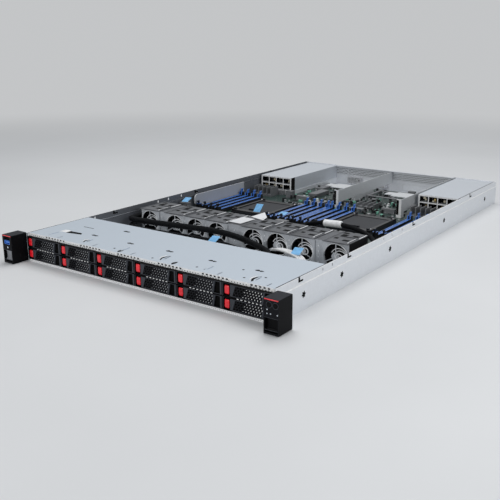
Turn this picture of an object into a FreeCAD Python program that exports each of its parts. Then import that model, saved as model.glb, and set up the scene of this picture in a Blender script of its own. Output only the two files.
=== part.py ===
import FreeCAD, Part
import math
import os

# 1U rack server with its top cover off. Millimetres, +X to the right seen from the front,
# +Y to the rear, +Z up. The origin is the bottom centre of the chassis front plane.

V = FreeCAD.Vector

# ---- sheets and gaps -------------------------------------------------------------------
sheet = 1.0                   # chassis sheet metal
board_sheet = 1.6             # circuit boards
cage_sheet = 0.4
shelf_sheet = 0.6
slack = 0.3                   # clearance between bodies that move past each other

# ---- drives and their bays ---------------------------------------------------------------
bay_columns = 6
bay_rows = 2
drive_width = 69.85           # 2.5 inch drive
drive_height = 15.0
drive_length = 100.2
drive_start = 11.0            # front of the drive behind the chassis front plane
carrier_rail = 0.675          # carrier side rail beside the drive
column_gap = 1.0              # between the carriers of two columns
bezel_over = 0.7              # how far a bezel stands over and under its drive
bezel_front = 4.0             # how far the bezels stand before the chassis front plane
bezel_depth = 12.0
bezel_wall = 1.6
bezel_right_wall = 1.0
bezel_lip = 0.8               # thickness of the bezel's top and bottom lips
bezel_bottom = 4.4            # lowest bezel edge above the chassis floor's underside
lever_thickness = 2.2
lever_pivot_x = 65.5          # from the carrier's left edge
lever_pivot_y = 2.0
lever_barrel_r = 2.2
grille_slots = 5
backplane_gap = 5.8           # from the drives to the backplane

# ---- chassis ---------------------------------------------------------------------------
bay_side_gap = 0.2            # between the outer columns and the side walls
cover_step = 1.2              # set-in of the upper strip of each side wall, for the top cover
cover_room = 4.8              # from the upper bezels to the top of the chassis
strip_height = 10.2           # upper strip of the side walls
floor_lip = 3.6               # height of the turned-up front edge of the floor
ear_plate_reach = 22.3        # how far the rack ears stand out of each side
ear_sheet = 1.2               # rack ear plate
ear_bottom = 0.8
rack_hole_inset = 8.75        # from the ear's outer edge to the rack hole's middle
rack_hole_d = 6.6
rail_slot_size = 4.4          # square slots for the hooks of the slide rails
rail_slot_height = 20.0
rail_slot_y = (58.5, 152.5, 297.0, 506.5, 713.0)
hook_notch_y = (50.0, 170.5, 378.5, 631.0)
strip_slot_y = (105.0, 129.0, 277.0, 304.0, 339.0)

# ---- front cover -----------------------------------------------------------------------
cover_side_gap = 0.6
vent_pitch = 6.05
vent_width = 3.6
vent_drop = 2.8               # how far the notches run down the front flange
vents_per_bay = 7
vent_start = 37.5             # first notch from the column's left edge

# ---- rack ear housings -----------------------------------------------------------------
ear_reach = 28.4              # how far the ears stand before the chassis front plane
ear_width = 20.3
ear_edge = 0.3                # from the ear housing to the ear plate's outer edge
ear_wall = 1.4
ear_panel_bottom = 20.5       # the button panel ends here and the latch recess starts
ear_recess = 12.0             # depth of the latch recess
button_d = 5.5
button_travel = 1.2
button_well = 6.0             # depth of the button's hole in the panel
button_spacing = 8.5
button_drop = 7.7             # from the chassis top to the buttons' middle

# ---- fans ------------------------------------------------------------------------------
cable_space = 97.0            # from the backplane to the fans
fan_headroom = 2.2            # from the fans' top to the chassis top
fan_wall = 1.3                # least wall beside the fan's duct
fan_depth = 56.0
fan_middle_gap = 28.8         # between the two middle fans
fan_gap = 3.3                 # between the three inner fans of each side
outer_fan_place = 0.4054      # where the outer fan stands in the room left at the wall
rotor_tip_gap = 0.6
rotor_hub_d = 20.0
rotor_start = 5.0             # from the fan's front to the rotor
rotor_depth = 20.0
motor_length = 22.0
duct_sides = 16
blades = 5
blade_pitch = 38.0            # degrees from the shaft

# ---- main board ------------------------------------------------------------------------
board_bottom = 5.0
board_gap = 14.0              # from the fans to the board
board_side_gap = 3.0
board_rear_gap = 37.0         # from the board to the rear end
standoff_r = 3.0
connector_space = 85.0        # from the board's front edge to the memory sockets
socket_length = 142.0
socket_width = 6.6
socket_height = 8.0
socket_tower = 13.5
latch_height = 19.0
latch_width = 2.6
bank_sockets = 4              # sockets beside each other in a bank
socket_first = 4.0
socket_pitch = 15.2
socket_wall_gap = 15.4        # from the chassis side to the outermost socket's middle
cpu_frame_width = 80.0
cpu_frame_length = 104.0
cpu_place = 0.3257            # where a processor stands in the room between two banks

# ---- power supplies and risers -----------------------------------------------------------
rear_space = 77.0             # from the memory sockets to the supplies
psu_width = 73.5
psu_length = 193.0
psu_wall_gap = 6.9            # from the side wall to the supply
psu_edge_height = 10.3        # card edge that plugs into the board's power socket
psu_tail = 2.0                # how far the case stands out of the rear panel
psu_grid = 14.0               # depth of the gridded inner end
inlet_depth = 16.0            # depth of the mains inlet's recess
port_fit = 0.2                # round each rear port in its cut-out
port_wall = 0.7               # network port's shell
riser_left_x = -2.0
riser_psu_gap = 7.6           # from the right riser's wall to the right supply

# ---- cables ----------------------------------------------------------------------------
bend_share = 0.45             # how much of a straight run each bend takes
bundle_sides = 5
signal_bundle_d = 9.0
second_bundle_d = 6.5
rear_bundle_d = 7.0

# ---- worked out from the sizes above -------------------------------------------------------
carrier_width = drive_width + 2 * carrier_rail
column_pitch = carrier_width + column_gap
bezel_height = drive_height + 2 * bezel_over
row_pitch = bezel_height + shelf_sheet + 2 * slack
lower_row_height = bezel_bottom + bezel_height / 2
body_width = bay_columns * column_pitch + 2 * (bay_side_gap + sheet + cover_step)
rack_width = body_width + 2 * ear_plate_reach
rack_hole_spacing = rack_width - 2 * rack_hole_inset
chassis_height = lower_row_height + row_pitch + bezel_height / 2 + cover_room
rack_hole_height = chassis_height / 2
step_height = chassis_height - strip_height
backplane_y = drive_start + drive_length + backplane_gap
bay_depth = backplane_y - 3.0
fan_front = backplane_y + cable_space
fan_size = chassis_height - sheet - fan_headroom
fan_bore = fan_size - 2 * fan_wall
board_front = fan_front + fan_depth + board_gap
socket_front = board_front + connector_space
socket_rear = socket_front + socket_length
cpu_y = socket_front + socket_length / 2
psu_front = socket_rear + rear_space
chassis_depth = psu_front + psu_length - psu_tail
board_rear = chassis_depth - board_rear_gap
board_top = board_bottom + board_sheet
half = body_width / 2.0
inside = half - sheet
strip_outer = half - cover_step
strip_inner = strip_outer - sheet
psu_height = chassis_height - sheet - slack - 2.4
psu_inner_x = inside - psu_wall_gap - psu_width
psu_outer_x = psu_inner_x + psu_width
riser_right_x = psu_inner_x - riser_psu_gap
bank_reach = (bank_sockets - 1) * socket_pitch
side_bank_first = half - socket_wall_gap - bank_reach
cpu_room = side_bank_first - socket_first - bank_reach - socket_width - cpu_frame_width
cpu_x = (socket_first + bank_reach + socket_width / 2 + cpu_frame_width / 2
         + cpu_place * cpu_room)


def box(x0, x1, y0, y1, z0, z1):
    """A box between two corners."""
    return Part.makeBox(x1 - x0, y1 - y0, z1 - z0, V(x0, y0, z0))


def disc(radius, start, end):
    """A cylinder from one point to another."""
    a, b = V(*start), V(*end)
    return Part.makeCylinder(radius, (b - a).Length, a, b - a)


def prism(points, direction):
    """A flat outline pushed along a direction."""
    corners = [V(*p) for p in points]
    face = Part.Face(Part.makePolygon(corners + corners[:1]))
    return face.extrude(V(*direction))


def join(shapes):
    """Shapes that touch, fused to one clean solid."""
    body = shapes[0].fuse(list(shapes[1:])) if len(shapes) > 1 else shapes[0]
    return body.removeSplitter()


def mirror(shape):
    """The same shape on the other side of the middle."""
    return shape.mirror(V(0, 0, 0), V(1, 0, 0))


def write(name, shapes):
    """One node: a group of separate solids."""
    solids = []
    for shape in shapes:
        solids.extend(shape.Solids)
    if not solids:
        raise ValueError("no solid in " + name)
    Part.makeCompound(solids).exportStep("parts/" + name + ".step")
    return solids


# ---- chassis ---------------------------------------------------------------------------
def wall_profile():
    """Cross-section of the stepped right side wall, at its front end."""
    rise = 0.4 * sheet
    corners = [(half, sheet), (half, step_height), (strip_outer, step_height + cover_step),
               (strip_outer, chassis_height), (strip_inner, chassis_height),
               (strip_inner, step_height + cover_step - rise), (inside, step_height - rise),
               (inside, sheet)]
    return [(x, 0, z) for x, z in corners]


def hook_notch(y):
    """L-shaped notch that takes a hook of the top cover."""
    low = chassis_height - 6.2
    upright = box(strip_inner - 1, half + 1, y - 2, y + 2, low, chassis_height + 1)
    foot = box(strip_inner - 1, half + 1, y - 2, y + 9, low, low + 2.6)
    return upright.fuse(foot)


def standoff_places():
    """Board fixing points."""
    outer, inner, tail = half - 13.0, 72.0, psu_inner_x - 13.6
    rows = (board_front + 8, socket_rear + 11)
    places = [(x, y) for y in rows for x in (-outer, -inner, inner, outer)]
    return places + [(x, board_rear - 8) for x in (-tail, tail)]


def post(radius, sides, x, y, z0, z1):
    """A many-sided upright post that fits inside a circle of the radius."""
    ring = [(x + radius * math.cos(2 * math.pi * k / sides),
             y + radius * math.sin(2 * math.pi * k / sides), z0) for k in range(sides)]
    return prism(ring, (0, 0, z1 - z0))


def drum(radius, sides, x, y0, y1, z):
    """A many-sided drum along Y that fits inside a circle of the radius."""
    ring = [(x + radius * math.cos(2 * math.pi * k / sides), y0,
             z + radius * math.sin(2 * math.pi * k / sides)) for k in range(sides)]
    return prism(ring, (0, y1 - y0, 0))


def side_wall():
    """Right side wall with its slots for the slide rail and notches for the cover."""
    size = rail_slot_size / 2
    slot_low = chassis_height - 6.2
    holes = [hook_notch(y) for y in hook_notch_y]
    for y in rail_slot_y:
        holes.append(box(inside - 1, half + 1, y - size, y + size,
                         rail_slot_height - size, rail_slot_height + size))
    for y in strip_slot_y:
        holes.append(box(strip_inner - 1, half + 1, y - 1.2, y + 1.2, slot_low, slot_low + 4.0))
    return prism(wall_profile(), (0, chassis_depth, 0)).cut(holes)


def ear_bend():
    """Bend that joins the right ear plate to the front end of the wall."""
    return box(inside, half, -ear_sheet, 0, ear_bottom, step_height)


def ear_plate():
    """Right rack ear plate with the rack hole."""
    x, z = rack_hole_spacing / 2, rack_hole_height
    plate = box(half, rack_width / 2, -ear_sheet, 0, ear_bottom, chassis_height - ear_bottom)
    return plate.cut(disc(rack_hole_d / 2, (x, -ear_sheet - 1, z), (x, 1, z)))


def chassis_tray():
    """Floor with its front lip and board posts, side walls, ear plates and supply guides."""
    floor = box(-half, half, 0, chassis_depth, 0, sheet)
    pieces = [floor, box(-inside, inside, 0, sheet, sheet, floor_lip)]
    for x in (psu_inner_x - slack - sheet, psu_outer_x + slack):
        pieces.append(box(x, x + sheet, psu_front + 4, chassis_depth - sheet, sheet, 14.0))
    pieces.extend([side_wall(), ear_bend(), ear_plate()])
    pieces.extend([mirror(piece) for piece in pieces[2:]])
    for x, y in standoff_places():
        pieces.append(post(standoff_r, 4, x, y, sheet, board_bottom))
    return pieces


def rear_panel():
    """Rear wall: plates round the port cut-out, port plate, top lip and supply bay frames."""
    y0, y1 = chassis_depth - sheet, chassis_depth
    top = chassis_height - 0.6
    bay_top = sheet + psu_height + 2 * slack
    inner, outer = psu_inner_x - slack, psu_outer_x + slack
    x0, x1, z0, z1 = port_cutout()
    slots = [box(a, b, y0 - 1, y1 + 1, c, d) for a, b, c, d in slot_windows()]
    *others, network = port_windows()
    windows = [box(a, b, y0 - 1, y1 + 1, c, d) for a, b, c, d in others]
    pieces = [box(-inner, inner, y0, y1, z1, top).cut(slots),
              box(x1, inner, y0, y1, sheet, z1).cut(slots),
              box(-inner, x0, y0, y1, z0, z1), box(-inner, x1, y0, y1, sheet, z0),
              box(x0, network[0], y0, y1, z0, z1).cut(windows),
              box(-inner + 3, inner - 3, y0 - 9, y0, top - sheet, top)]
    frame = [box(inner, strip_inner, y0, y1, bay_top, top),
             box(outer, strip_inner, y0, y1, sheet, bay_top)]
    return pieces + frame + [mirror(bar) for bar in frame]


def slot_windows():
    """Card slots: left riser, right riser and the network card bay under it."""
    low, high = chassis_height - 20.2, chassis_height - 5.2
    return [(riser_left_x - 104.0, riser_left_x - 6.0, low, high),
            (riser_right_x - 107.0, riser_right_x - 9.0, low, high),
            (riser_left_x + 26.0, riser_left_x + 98.0, sheet + 3.5, sheet + 14.5)]


def port_windows():
    """Video, two USB and management network ports, left to right."""
    x, z = riser_left_x, board_top + 1.4
    return [(x - 102.0, x - 71.0, z, z + 12.5), (x - 64.0, x - 50.0, z, z + 6.6),
            (x - 45.0, x - 31.0, z, z + 6.6), (x - 25.0, x - 9.0, z, z + 13.4)]


def port_cutout():
    """Cut-out of the rear wall that the port plate and the network port fill."""
    windows = port_windows()
    return (windows[0][0] - 2.0, windows[-1][1], windows[0][2] - 0.7, windows[-1][3])


def slot_blank(x0, x1, z0, z1):
    """Vented blanking plate behind one card slot."""
    y1 = chassis_depth - sheet
    plate = box(x0 - 3, x1 + 3, y1 - 0.8, y1, z0 - 1.2, z1 + 1.2)
    count = int((x1 - x0) // 20)
    pitch = (x1 - x0) / count
    slots = [box(x0 + pitch * (k + 0.2), x0 + pitch * (k + 0.8), y1 - 2, y1 + 1, z0 + 2, z1 - 2)
             for k in range(count)]
    return plate.cut(slots)


# ---- front cover and drive cage ----------------------------------------------------------
def column_left(column):
    return (column - bay_columns / 2.0) * column_pitch + (column_pitch - carrier_width) / 2.0


def row_middle(row):
    return lower_row_height + row * row_pitch


def lance(x, y, length, width):
    """Raised bridge punched out of the cover, open on its long sides."""
    top = chassis_height
    rise = 0.9
    outline = [(x, y, top - 0.2), (x, y + length * 0.25, top + rise),
               (x, y + length * 0.75, top + rise), (x, y + length, top - 0.2)]
    return prism(outline, (width, 0, 0))


def front_top_cover():
    edge = strip_inner - cover_side_gap
    bottom = chassis_height - sheet
    plate = box(-edge, edge, 0, bay_depth, bottom, chassis_height)
    flange = box(-edge, edge, 0, sheet, row_middle(1) + bezel_height / 2 + slack, bottom)
    cover = join([plate, flange])
    cuts, lances = [], []
    for column in range(bay_columns):
        left = column_left(column)
        for k in range(vents_per_bay):
            x = left + vent_start + k * vent_pitch
            if x + vent_width < edge:
                cuts.append(box(x, x + vent_width, -1, sheet, chassis_height - vent_drop,
                                chassis_height + 1))
        middle = left + carrier_width / 2
        cuts.append(box(middle - 3.0, middle - 1.2, 9, 27, bottom - 1, chassis_height + 1))
        lances.append(lance(middle - 1.2, 9, 18, 1.8))
        cuts.append(box(middle + 22, middle + 23.6, 3.6, 13.6, bottom - 1, chassis_height + 1))
    cover = cover.cut(cuts)
    return join([cover] + lances)


def drive_cage():
    """Side plates, dividers and, in each column, the floor and middle shelf of the bays."""
    top = chassis_height - sheet
    floor_top = row_middle(0) - bezel_height / 2 - slack
    shelf = (row_middle(0) + row_middle(1)) / 2 - shelf_sheet / 2
    front, t = 1.5, cage_sheet / 2
    lines = [(k - bay_columns / 2.0) * column_pitch for k in range(1, bay_columns)]
    lines = [-strip_inner + t] + lines + [strip_inner - t]
    pieces = [box(x - t, x + t, front, bay_depth, sheet, top) for x in lines]
    pieces.append(box(-strip_inner, strip_inner, -2.0, front, shelf, shelf + shelf_sheet))
    for a, b in zip(lines, lines[1:]):
        for z in (floor_top - shelf_sheet, shelf):
            pieces.append(box(a + t, b - t, front, bay_depth, z, z + shelf_sheet))
    return pieces


def backplane_plug_y():
    return drive_start + drive_length + slack + 0.2


def drive_backplane():
    """Circuit board behind the bays, with a socket for each drive and cable sockets behind."""
    edge = strip_inner - 1.5
    board = box(-edge, edge, backplane_y, backplane_y + board_sheet, sheet + 0.3,
                chassis_height - 4.5)
    vents, plugs = [], []
    for column in range(bay_columns):
        middle = column_left(column) + carrier_width / 2
        vents.append(box(middle - 30, middle + 30, backplane_y - 1, backplane_y + 3, 17.5, 24.5))
        for row in range(bay_rows):
            z = row_middle(row)
            plugs.append(box(middle - 22, middle + 20, backplane_plug_y(), backplane_y,
                             z - 4.2, z + 0.6))
    rear = backplane_y + board_sheet
    for x, z in backplane_cable_places():
        plugs.append(box(x - 8, x + 8, rear, rear + 6, z - 6, z + 6))
    return [board.cut(vents)] + plugs


def backplane_cable_places():
    """Middle of each cable socket on the back of the backplane."""
    return [(half - 115.0, 20.0), (half - 143.0, 20.0), (half - 55.0, 24.0), (half - 25.0, 22.0)]


# ---- drive carriers ------------------------------------------------------------------------
def drive_carrier(column, row):
    """Bezel frame with a vented web and rails, and the drive that it holds."""
    x0, z0 = column_left(column), row_middle(row)
    x1 = x0 + carrier_width
    high = bezel_height / 2
    front, back = -bezel_front, bezel_depth - bezel_front
    bezel = box(x0, x1, front, back, z0 - high, z0 + high)
    pocket = box(x0 + bezel_wall, x1 - bezel_right_wall, front - 1, back - 1.5,
                 z0 - high + bezel_lip, z0 + high - bezel_lip)
    window = box(x0 + 17, x1 - 15.2, back - 3, back + 1, z0 - 5.5, z0 + 5.5)
    rail = carrier_rail
    rails = [box(x0 + a, x0 + a + rail, back, drive_start + drive_length, z0 - 5, z0 + 5)
             for a in (0, carrier_width - rail)]
    frame = join([bezel.cut([pocket, window])] + rails)
    drive = box(x0 + rail, x1 - rail, drive_start, drive_start + drive_length,
                z0 - drive_height / 2, z0 + drive_height / 2)
    return [frame, drive]


def drive_lever(column, row):
    """Ejector lever: slanted grille plate, hinge arm at its right end, catch at its left."""
    x0, z0 = column_left(column), row_middle(row)
    high = bezel_height / 2 - bezel_lip - slack
    low, top = z0 - high, z0 + high
    front = -bezel_front
    back = front + lever_thickness
    plate = prism([(x0 + 12.6, front, low), (x0 + 57.1, front, low),
                   (x0 + 61.9, front, top), (x0 + 12.6, front, top)], (0, lever_thickness, 0))
    px, py = x0 + lever_pivot_x, lever_pivot_y
    r = lever_barrel_r
    arm = prism([(x0 + 55.5, back, low), (x0 + 57.1, back, low), (px - 0.4 * r, py - r, low),
                 (px + 0.4 * r, py - r, low), (px + r, py, low), (px + 0.4 * r, py + r, low),
                 (px - 0.4 * r, py + r, low), (x0 + 55.5, back + 2.4, low)], (0, 0, 2 * high))
    tongue = box(x0 + 4.2, x0 + 14, back - 0.6, back + 0.8, low + 1, top - 1)
    step = 37.0 / grille_slots
    lean = 3.2
    slots = []
    for k in range(grille_slots):
        a = x0 + 17.6 + k * step
        b = a + step * 0.62
        slots.append(prism([(a, front - 1, low + 1.2), (b, front - 1, low + 1.2),
                            (b + lean, front - 1, top - 1.2), (a + lean, front - 1, top - 1.2)],
                           (0, lever_thickness + 2, 0)))
    body = join([plate.cut(slots), arm, tongue])
    catch = box(x0 + 4.8, x0 + 12.0, front - 0.4, back - 0.6, low + 0.9, top - 0.9)
    corners = [e for e in catch.Edges if e.BoundBox.YLength > 1.0]
    return [body, catch.makeChamfer(1.3, corners)]


# ---- rack ears -------------------------------------------------------------------------
def ear_outer():
    return rack_width / 2 - ear_edge


def ear_inner():
    return ear_outer() - ear_width


def ear_screw_room():
    """Cavity at the back of the ear, round the captive rack screw."""
    x = rack_hole_spacing / 2
    return box(x - 5.5, x + 5.5, -15.0, -ear_sheet + 1, rack_hole_height - 7,
               rack_hole_height + 7)


def ear_housing():
    """Right ear: moulded housing with a button panel above and a latch recess below."""
    x0, x1 = ear_inner(), ear_outer()
    front = -ear_reach
    z0, z1 = ear_bottom, chassis_height - 0.4
    shell = box(x0, x1, front, -ear_sheet, z0, z1)
    long_edges = [e for e in shell.Edges if e.BoundBox.YLength > 10 and e.BoundBox.ZMax > z1 - 1]
    shell = shell.makeFillet(0.8, long_edges)
    recess = box(x0 + ear_wall, x1 - ear_wall, front - 1, front + ear_recess, z0 + 2.2,
                 ear_panel_bottom)
    return shell.cut([recess, ear_screw_room()])


def right_ear_housing():
    shell = ear_housing()
    bores = []
    for x in button_places():
        bores.append(drum(button_d / 2 + 0.6, 16, x, -ear_reach - 1, -ear_reach + button_well,
                          button_height()))
    return shell.cut(bores)


def left_ear_housing():
    top = chassis_height - 1.8
    pocket = box(ear_inner() + 4, ear_outer() - 4, -ear_reach - 1, -ear_reach + 10, top - 12.4, top)
    return mirror(ear_housing().cut(pocket))


def button_height():
    return chassis_height - button_drop


def button_places():
    """Power button and identity button."""
    return (ear_outer() - 4.6 - button_spacing, ear_outer() - 4.6)


def front_button(x):
    """Round button with its stem towards the switch."""
    z = button_height()
    front = -ear_reach - 0.4
    cap = drum(button_d / 2, 16, x, front, front + 3.0, z)
    stem = box(x - 1, x + 1, front + 3.0, -ear_reach + button_well - button_travel - 0.1,
               z - 1, z + 1)
    return [join([cap, stem])]


def ear_latch_pivot():
    """Hinge line of the ear latch: depth and height."""
    return -ear_reach + 5.0, ear_bottom + 2.2 + slack + 2.0


def ear_latch():
    """Flip latch in the ear's lower recess, hinged at its bottom edge."""
    x0, x1 = ear_inner() + ear_wall + slack, ear_outer() - ear_wall - slack
    y, z = ear_latch_pivot()
    top = ear_panel_bottom - 0.6
    knuckle = [(y + 2 * math.cos(math.radians(k * 45)), z + 2 * math.sin(math.radians(k * 45)))
               for k in range(3, 9)]
    outline = knuckle + [(y + 1.6, z + 2.4), (y + 1.6, top), (y - 0.4, top), (y - 0.4, z + 2.4)]
    plate = prism([(x0, a, b) for a, b in outline], (x1 - x0, 0, 0))
    lip = box(x0 + 3, x1 - 3, y - 2.9, y - 0.4, top - 2.0, top - 0.4)
    return join([plate, lip])


# ---- fans ------------------------------------------------------------------------------
def fan_places():
    """Middle of each fan, left to right: three spaced evenly and one nearer the wall."""
    inner = [(fan_middle_gap + fan_size) / 2 + k * (fan_size + fan_gap) for k in range(3)]
    edge = inner[-1] + fan_size / 2
    outer = edge + outer_fan_place * (inside - edge - fan_size) + fan_size / 2
    right = inner + [outer]
    return [-x for x in reversed(right)] + right


def fan_middle_z():
    return sheet + 0.2 + fan_size / 2


def fan_frame(x):
    """Square fan frame with a round duct, stator vanes and motor mount at the rear."""
    z = fan_middle_z()
    y0, y1 = fan_front, fan_front + fan_depth
    side = fan_size / 2
    body = box(x - side, x + side, y0, y1, z - side, z + side)
    duct = drum(fan_bore / 2, duct_sides, x, y0 - 1, y1 + 1, z)
    motor = drum(rotor_hub_d / 2, 6, x, y1 - motor_length, y1 - 4, z)
    vanes = []
    for k in range(3):
        vane = box(x - 0.7, x + 0.7, y1 - 18, y1 - 6, z + rotor_hub_d / 2 - 2,
                   z + fan_bore / 2 + 0.6)
        vane.rotate(V(x, y1, z), V(0, 1, 0), 120 * k)
        vanes.append(vane)
    return join([body.cut(duct), motor] + vanes)


def fan_guard(x):
    """Finger guard on the inlet: hub plate and three spokes."""
    z = fan_middle_z()
    y0, y1 = fan_front - 1.6, fan_front
    hub = drum(7.0, 6, x, y0, y1, z)
    spokes = []
    for k in range(3):
        spoke = box(x - 0.7, x + 0.7, y0, y1, z + 5.6, z + fan_bore / 2 + 0.6)
        spoke.rotate(V(x, y1, z), V(0, 1, 0), 120 * k)
        spokes.append(spoke)
    return join([hub] + spokes)


def fan_blade(tip):
    """One flat blade across the shaft line; its tip follows the duct."""
    lean = math.radians(blade_pitch)
    chord = rotor_depth / 2 / math.cos(lean)
    outline = [(0, -chord * 0.7, rotor_hub_d / 2 - 3.5)]
    for share in (-1.0, 0.0, 1.0):
        across = share * chord * math.sin(lean)
        outline.append((0, share * chord, math.sqrt(tip ** 2 - across ** 2)))
    outline.append((0, chord * 0.7, rotor_hub_d / 2 - 3.5))
    blade = prism([(x - 0.6, y, z) for x, y, z in outline], (1.2, 0, 0))
    blade.rotate(V(0, 0, 0), V(0, 0, 1), blade_pitch)
    return blade


def fan_rotor(x):
    """Hub with pitched blades and a shaft into the motor."""
    z = fan_middle_z()
    y0 = fan_front + rotor_start
    y1 = y0 + rotor_depth
    hub = drum(rotor_hub_d / 2, 2 * blades, x, y0, y1, z)
    parts = [hub]
    for k in range(blades):
        blade = fan_blade(fan_bore / 2 - rotor_tip_gap)
        blade.rotate(V(0, 0, 0), V(0, 1, 0), 360.0 * k / blades)
        blade.translate(V(x, (y0 + y1) / 2, z))
        parts.append(blade)
    parts.append(drum(2.0, 6, x, y1, fan_front + fan_depth - motor_length - slack, z))
    return [join(parts)]


def fan_gaps():
    """The gaps beside and between the fans, left to right."""
    side = fan_size / 2 + 0.2
    places = fan_places()
    return [(a + side, b - side) for a, b in zip(places, places[1:])]


def fan_cage():
    """Front panel and roof between the fans, and a plate over each fan."""
    side = fan_size / 2
    low = fan_middle_z() + side + 0.2
    y0, y1 = fan_front, fan_front + fan_depth
    pieces = []
    for x0, x1 in fan_gaps():
        pieces.append(box(x0, x1, y0, y0 + 0.8, sheet, low - 1.0))
        pieces.append(box(x0, x1, y0, y1, low - 1.0, low - 0.2))
    for x in fan_places():
        plate = box(x - side - 1.2, x + side - 0.4, y0 - 3.5, y1 + 1, low, low + 0.8)
        slot = box(x - 12, x + 12, y0 + 30, y0 + 34, low - 1, low + 2)
        rib = box(x + side - 4.2, x + side - 3.2, y0 + 6, y0 + 52, low + 0.8, low + 1.6)
        pieces.append(join([plate.cut(slot), rib]))
    return pieces


# ---- main board ------------------------------------------------------------------------
def mainboard():
    edge = inside - board_side_gap
    narrow = psu_inner_x - slack - sheet - 1.6
    wide = box(-edge, edge, board_front, psu_front - 4, board_bottom, board_top)
    tail = box(-narrow, narrow, psu_front - 4, board_rear, board_bottom, board_top)
    return [join([wide, tail])]


def socket_places():
    """Middle of each memory socket: a centre bank of eight and four beside each wall."""
    right = [first + k * socket_pitch for first in (socket_first, side_bank_first)
             for k in range(bank_sockets)]
    return sorted([-x for x in right] + right)


def latch_pivot(end):
    """Hinge point of the memory latches: end is -1 at the front and 1 at the rear."""
    y = socket_front + 3.2 if end < 0 else socket_rear - 3.2
    return y, board_top + 4.0


def dimm_socket(x):
    """Memory socket: long slotted body with a tower at each end that holds a latch."""
    w = socket_width / 2
    y0, y1 = socket_front, socket_rear
    z0, z1, z2 = board_top, board_top + socket_height, board_top + socket_tower
    tower = 8.5
    profile = [(y0, z0), (y1, z0), (y1, z2), (y1 - tower, z2), (y1 - tower, z1),
               (y0 + tower, z1), (y0 + tower, z2), (y0, z2)]
    body = prism([(x - w, y, z) for y, z in profile], (2 * w, 0, 0))
    g = latch_width / 2 + slack
    return body.cut(box(x - g, x + g, y0 - 1, y1 + 1, z0 + 1.0, z2 + 1))


def dimm_latch(x, end):
    """One latch: a lever in the socket tower with a finger tab on top."""
    y, z = latch_pivot(end)
    top = board_top + latch_height
    outline = [(y - end * 2.2, z - 2.4), (y + end * 1.4, z - 2.4), (y + end * 1.6, top - 4.0),
               (y + end * 4.6, top), (y - end * 1.4, top)]
    return prism([(x - latch_width / 2, a, b) for a, b in outline], (latch_width, 0, 0))


def cpu_sockets():
    """Frame, cover plate and four posts of each processor socket."""
    pieces = []
    for side in (-1, 1):
        x = side * cpu_x
        wide, long = cpu_frame_width / 2, cpu_frame_length / 2
        frame = box(x - wide, x + wide, cpu_y - long, cpu_y + long, board_top, board_top + 5.0)
        well = box(x - 33, x + 33, cpu_y - 36, cpu_y + 36, board_top - 1, board_top + 9)
        cover = box(x - 32.5, x + 32.5, cpu_y - 35.5, cpu_y + 35.5, board_top, board_top + 7.0)
        grip = box(x - 12, x + 12, cpu_y - 35.5, cpu_y - 31.5, board_top + 7.0, board_top + 9.5)
        pieces.append(frame.cut(well))
        pieces.append(join([cover, grip]))
        for dx in (5 - wide, wide - 5):
            for dy in (6 - long, long - 6):
                pieces.append(post(3.4, 6, x + dx, cpu_y + dy, board_top + 5.0, board_top + 11))
    return pieces


def air_baffles():
    """Upright plate with a rounded front corner between the side wall and each outer bank."""
    x0 = side_bank_first + bank_reach + socket_width / 2 + 2.4
    y0, y1 = socket_front - 2, socket_rear + 12
    low, top = board_top + 0.4, chassis_height - 6.7
    bend = 9.0
    slant = V(x0, y0 + 24, low)
    corner = [V(x0, y0, low + 13), V(x0, y0, top - bend)]
    middle = V(x0, y0 + bend * (1 - math.cos(math.pi / 4)), top - bend * (1 - math.sin(math.pi / 4)))
    arc = Part.Arc(corner[1], middle, V(x0, y0 + bend, top)).toShape()
    lines = [Part.LineSegment(slant, corner[0]).toShape(),
             Part.LineSegment(corner[0], corner[1]).toShape(), arc,
             Part.LineSegment(V(x0, y0 + bend, top), V(x0, y1, top)).toShape(),
             Part.LineSegment(V(x0, y1, top), V(x0, y1, low)).toShape(),
             Part.LineSegment(V(x0, y1, low), slant).toShape()]
    plate = Part.Face(Part.Wire(lines)).extrude(V(1.0, 0, 0))
    foot = box(x0 + 1.0, x0 + 4.5, y0 + 30, y1 - 6, board_top, board_top + 1.2)
    baffle = join([plate, foot])
    return [baffle, mirror(baffle)]


def riser_cages():
    """Bracket, riser board and slot blanks of the two card risers."""
    pieces = []
    y1 = chassis_depth - sheet - 0.8
    top = chassis_height - 3.2
    deck = board_top + 10
    for x, y0, flange in ((riser_left_x, psu_front - 48, 29.0), (riser_right_x, psu_front - 58, 31.0)):
        wall = box(x - 0.6, x + 0.6, y0, y1, deck, top)
        leg = box(x - 0.6, x + 0.6, y0, y0 + 12, board_top, deck)
        pieces.append(join([wall, leg]))
        pieces.append(box(x - flange, x - 0.6, y0 + 22, y0 + 58, top - 1.2, top))
        pieces.append(box(x - 9, x - 0.6, y0, y0 + 1.2, board_top + 1.0, top))
        pieces.append(box(x - 9, x - 0.6, y0, y0 + 12, board_top, board_top + 1.0))
        pieces.append(box(x - flange - 16, x - flange, y0 + 30, y0 + 50, top - 1.2, top))
        pieces.append(box(x - 4.2, x - 2.6, y0 + 60, y0 + 190, board_top + 11, top - 2.5))
        slot = box(x - 11.5, x - 4.2, y0 + 70, y0 + 160, top - 16, top - 7)
        notch = box(x - 12, x - 6.5, y0 + 72, y0 + 158, top - 12.4, top - 10.6)
        pieces.append(slot.cut(notch))
        pieces.append(box(x - 6.0, x - 0.8, y0 + 70, y0 + 150, board_top, board_top + 11))
    for window in slot_windows():
        pieces.append(slot_blank(*window))
    return pieces


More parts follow.
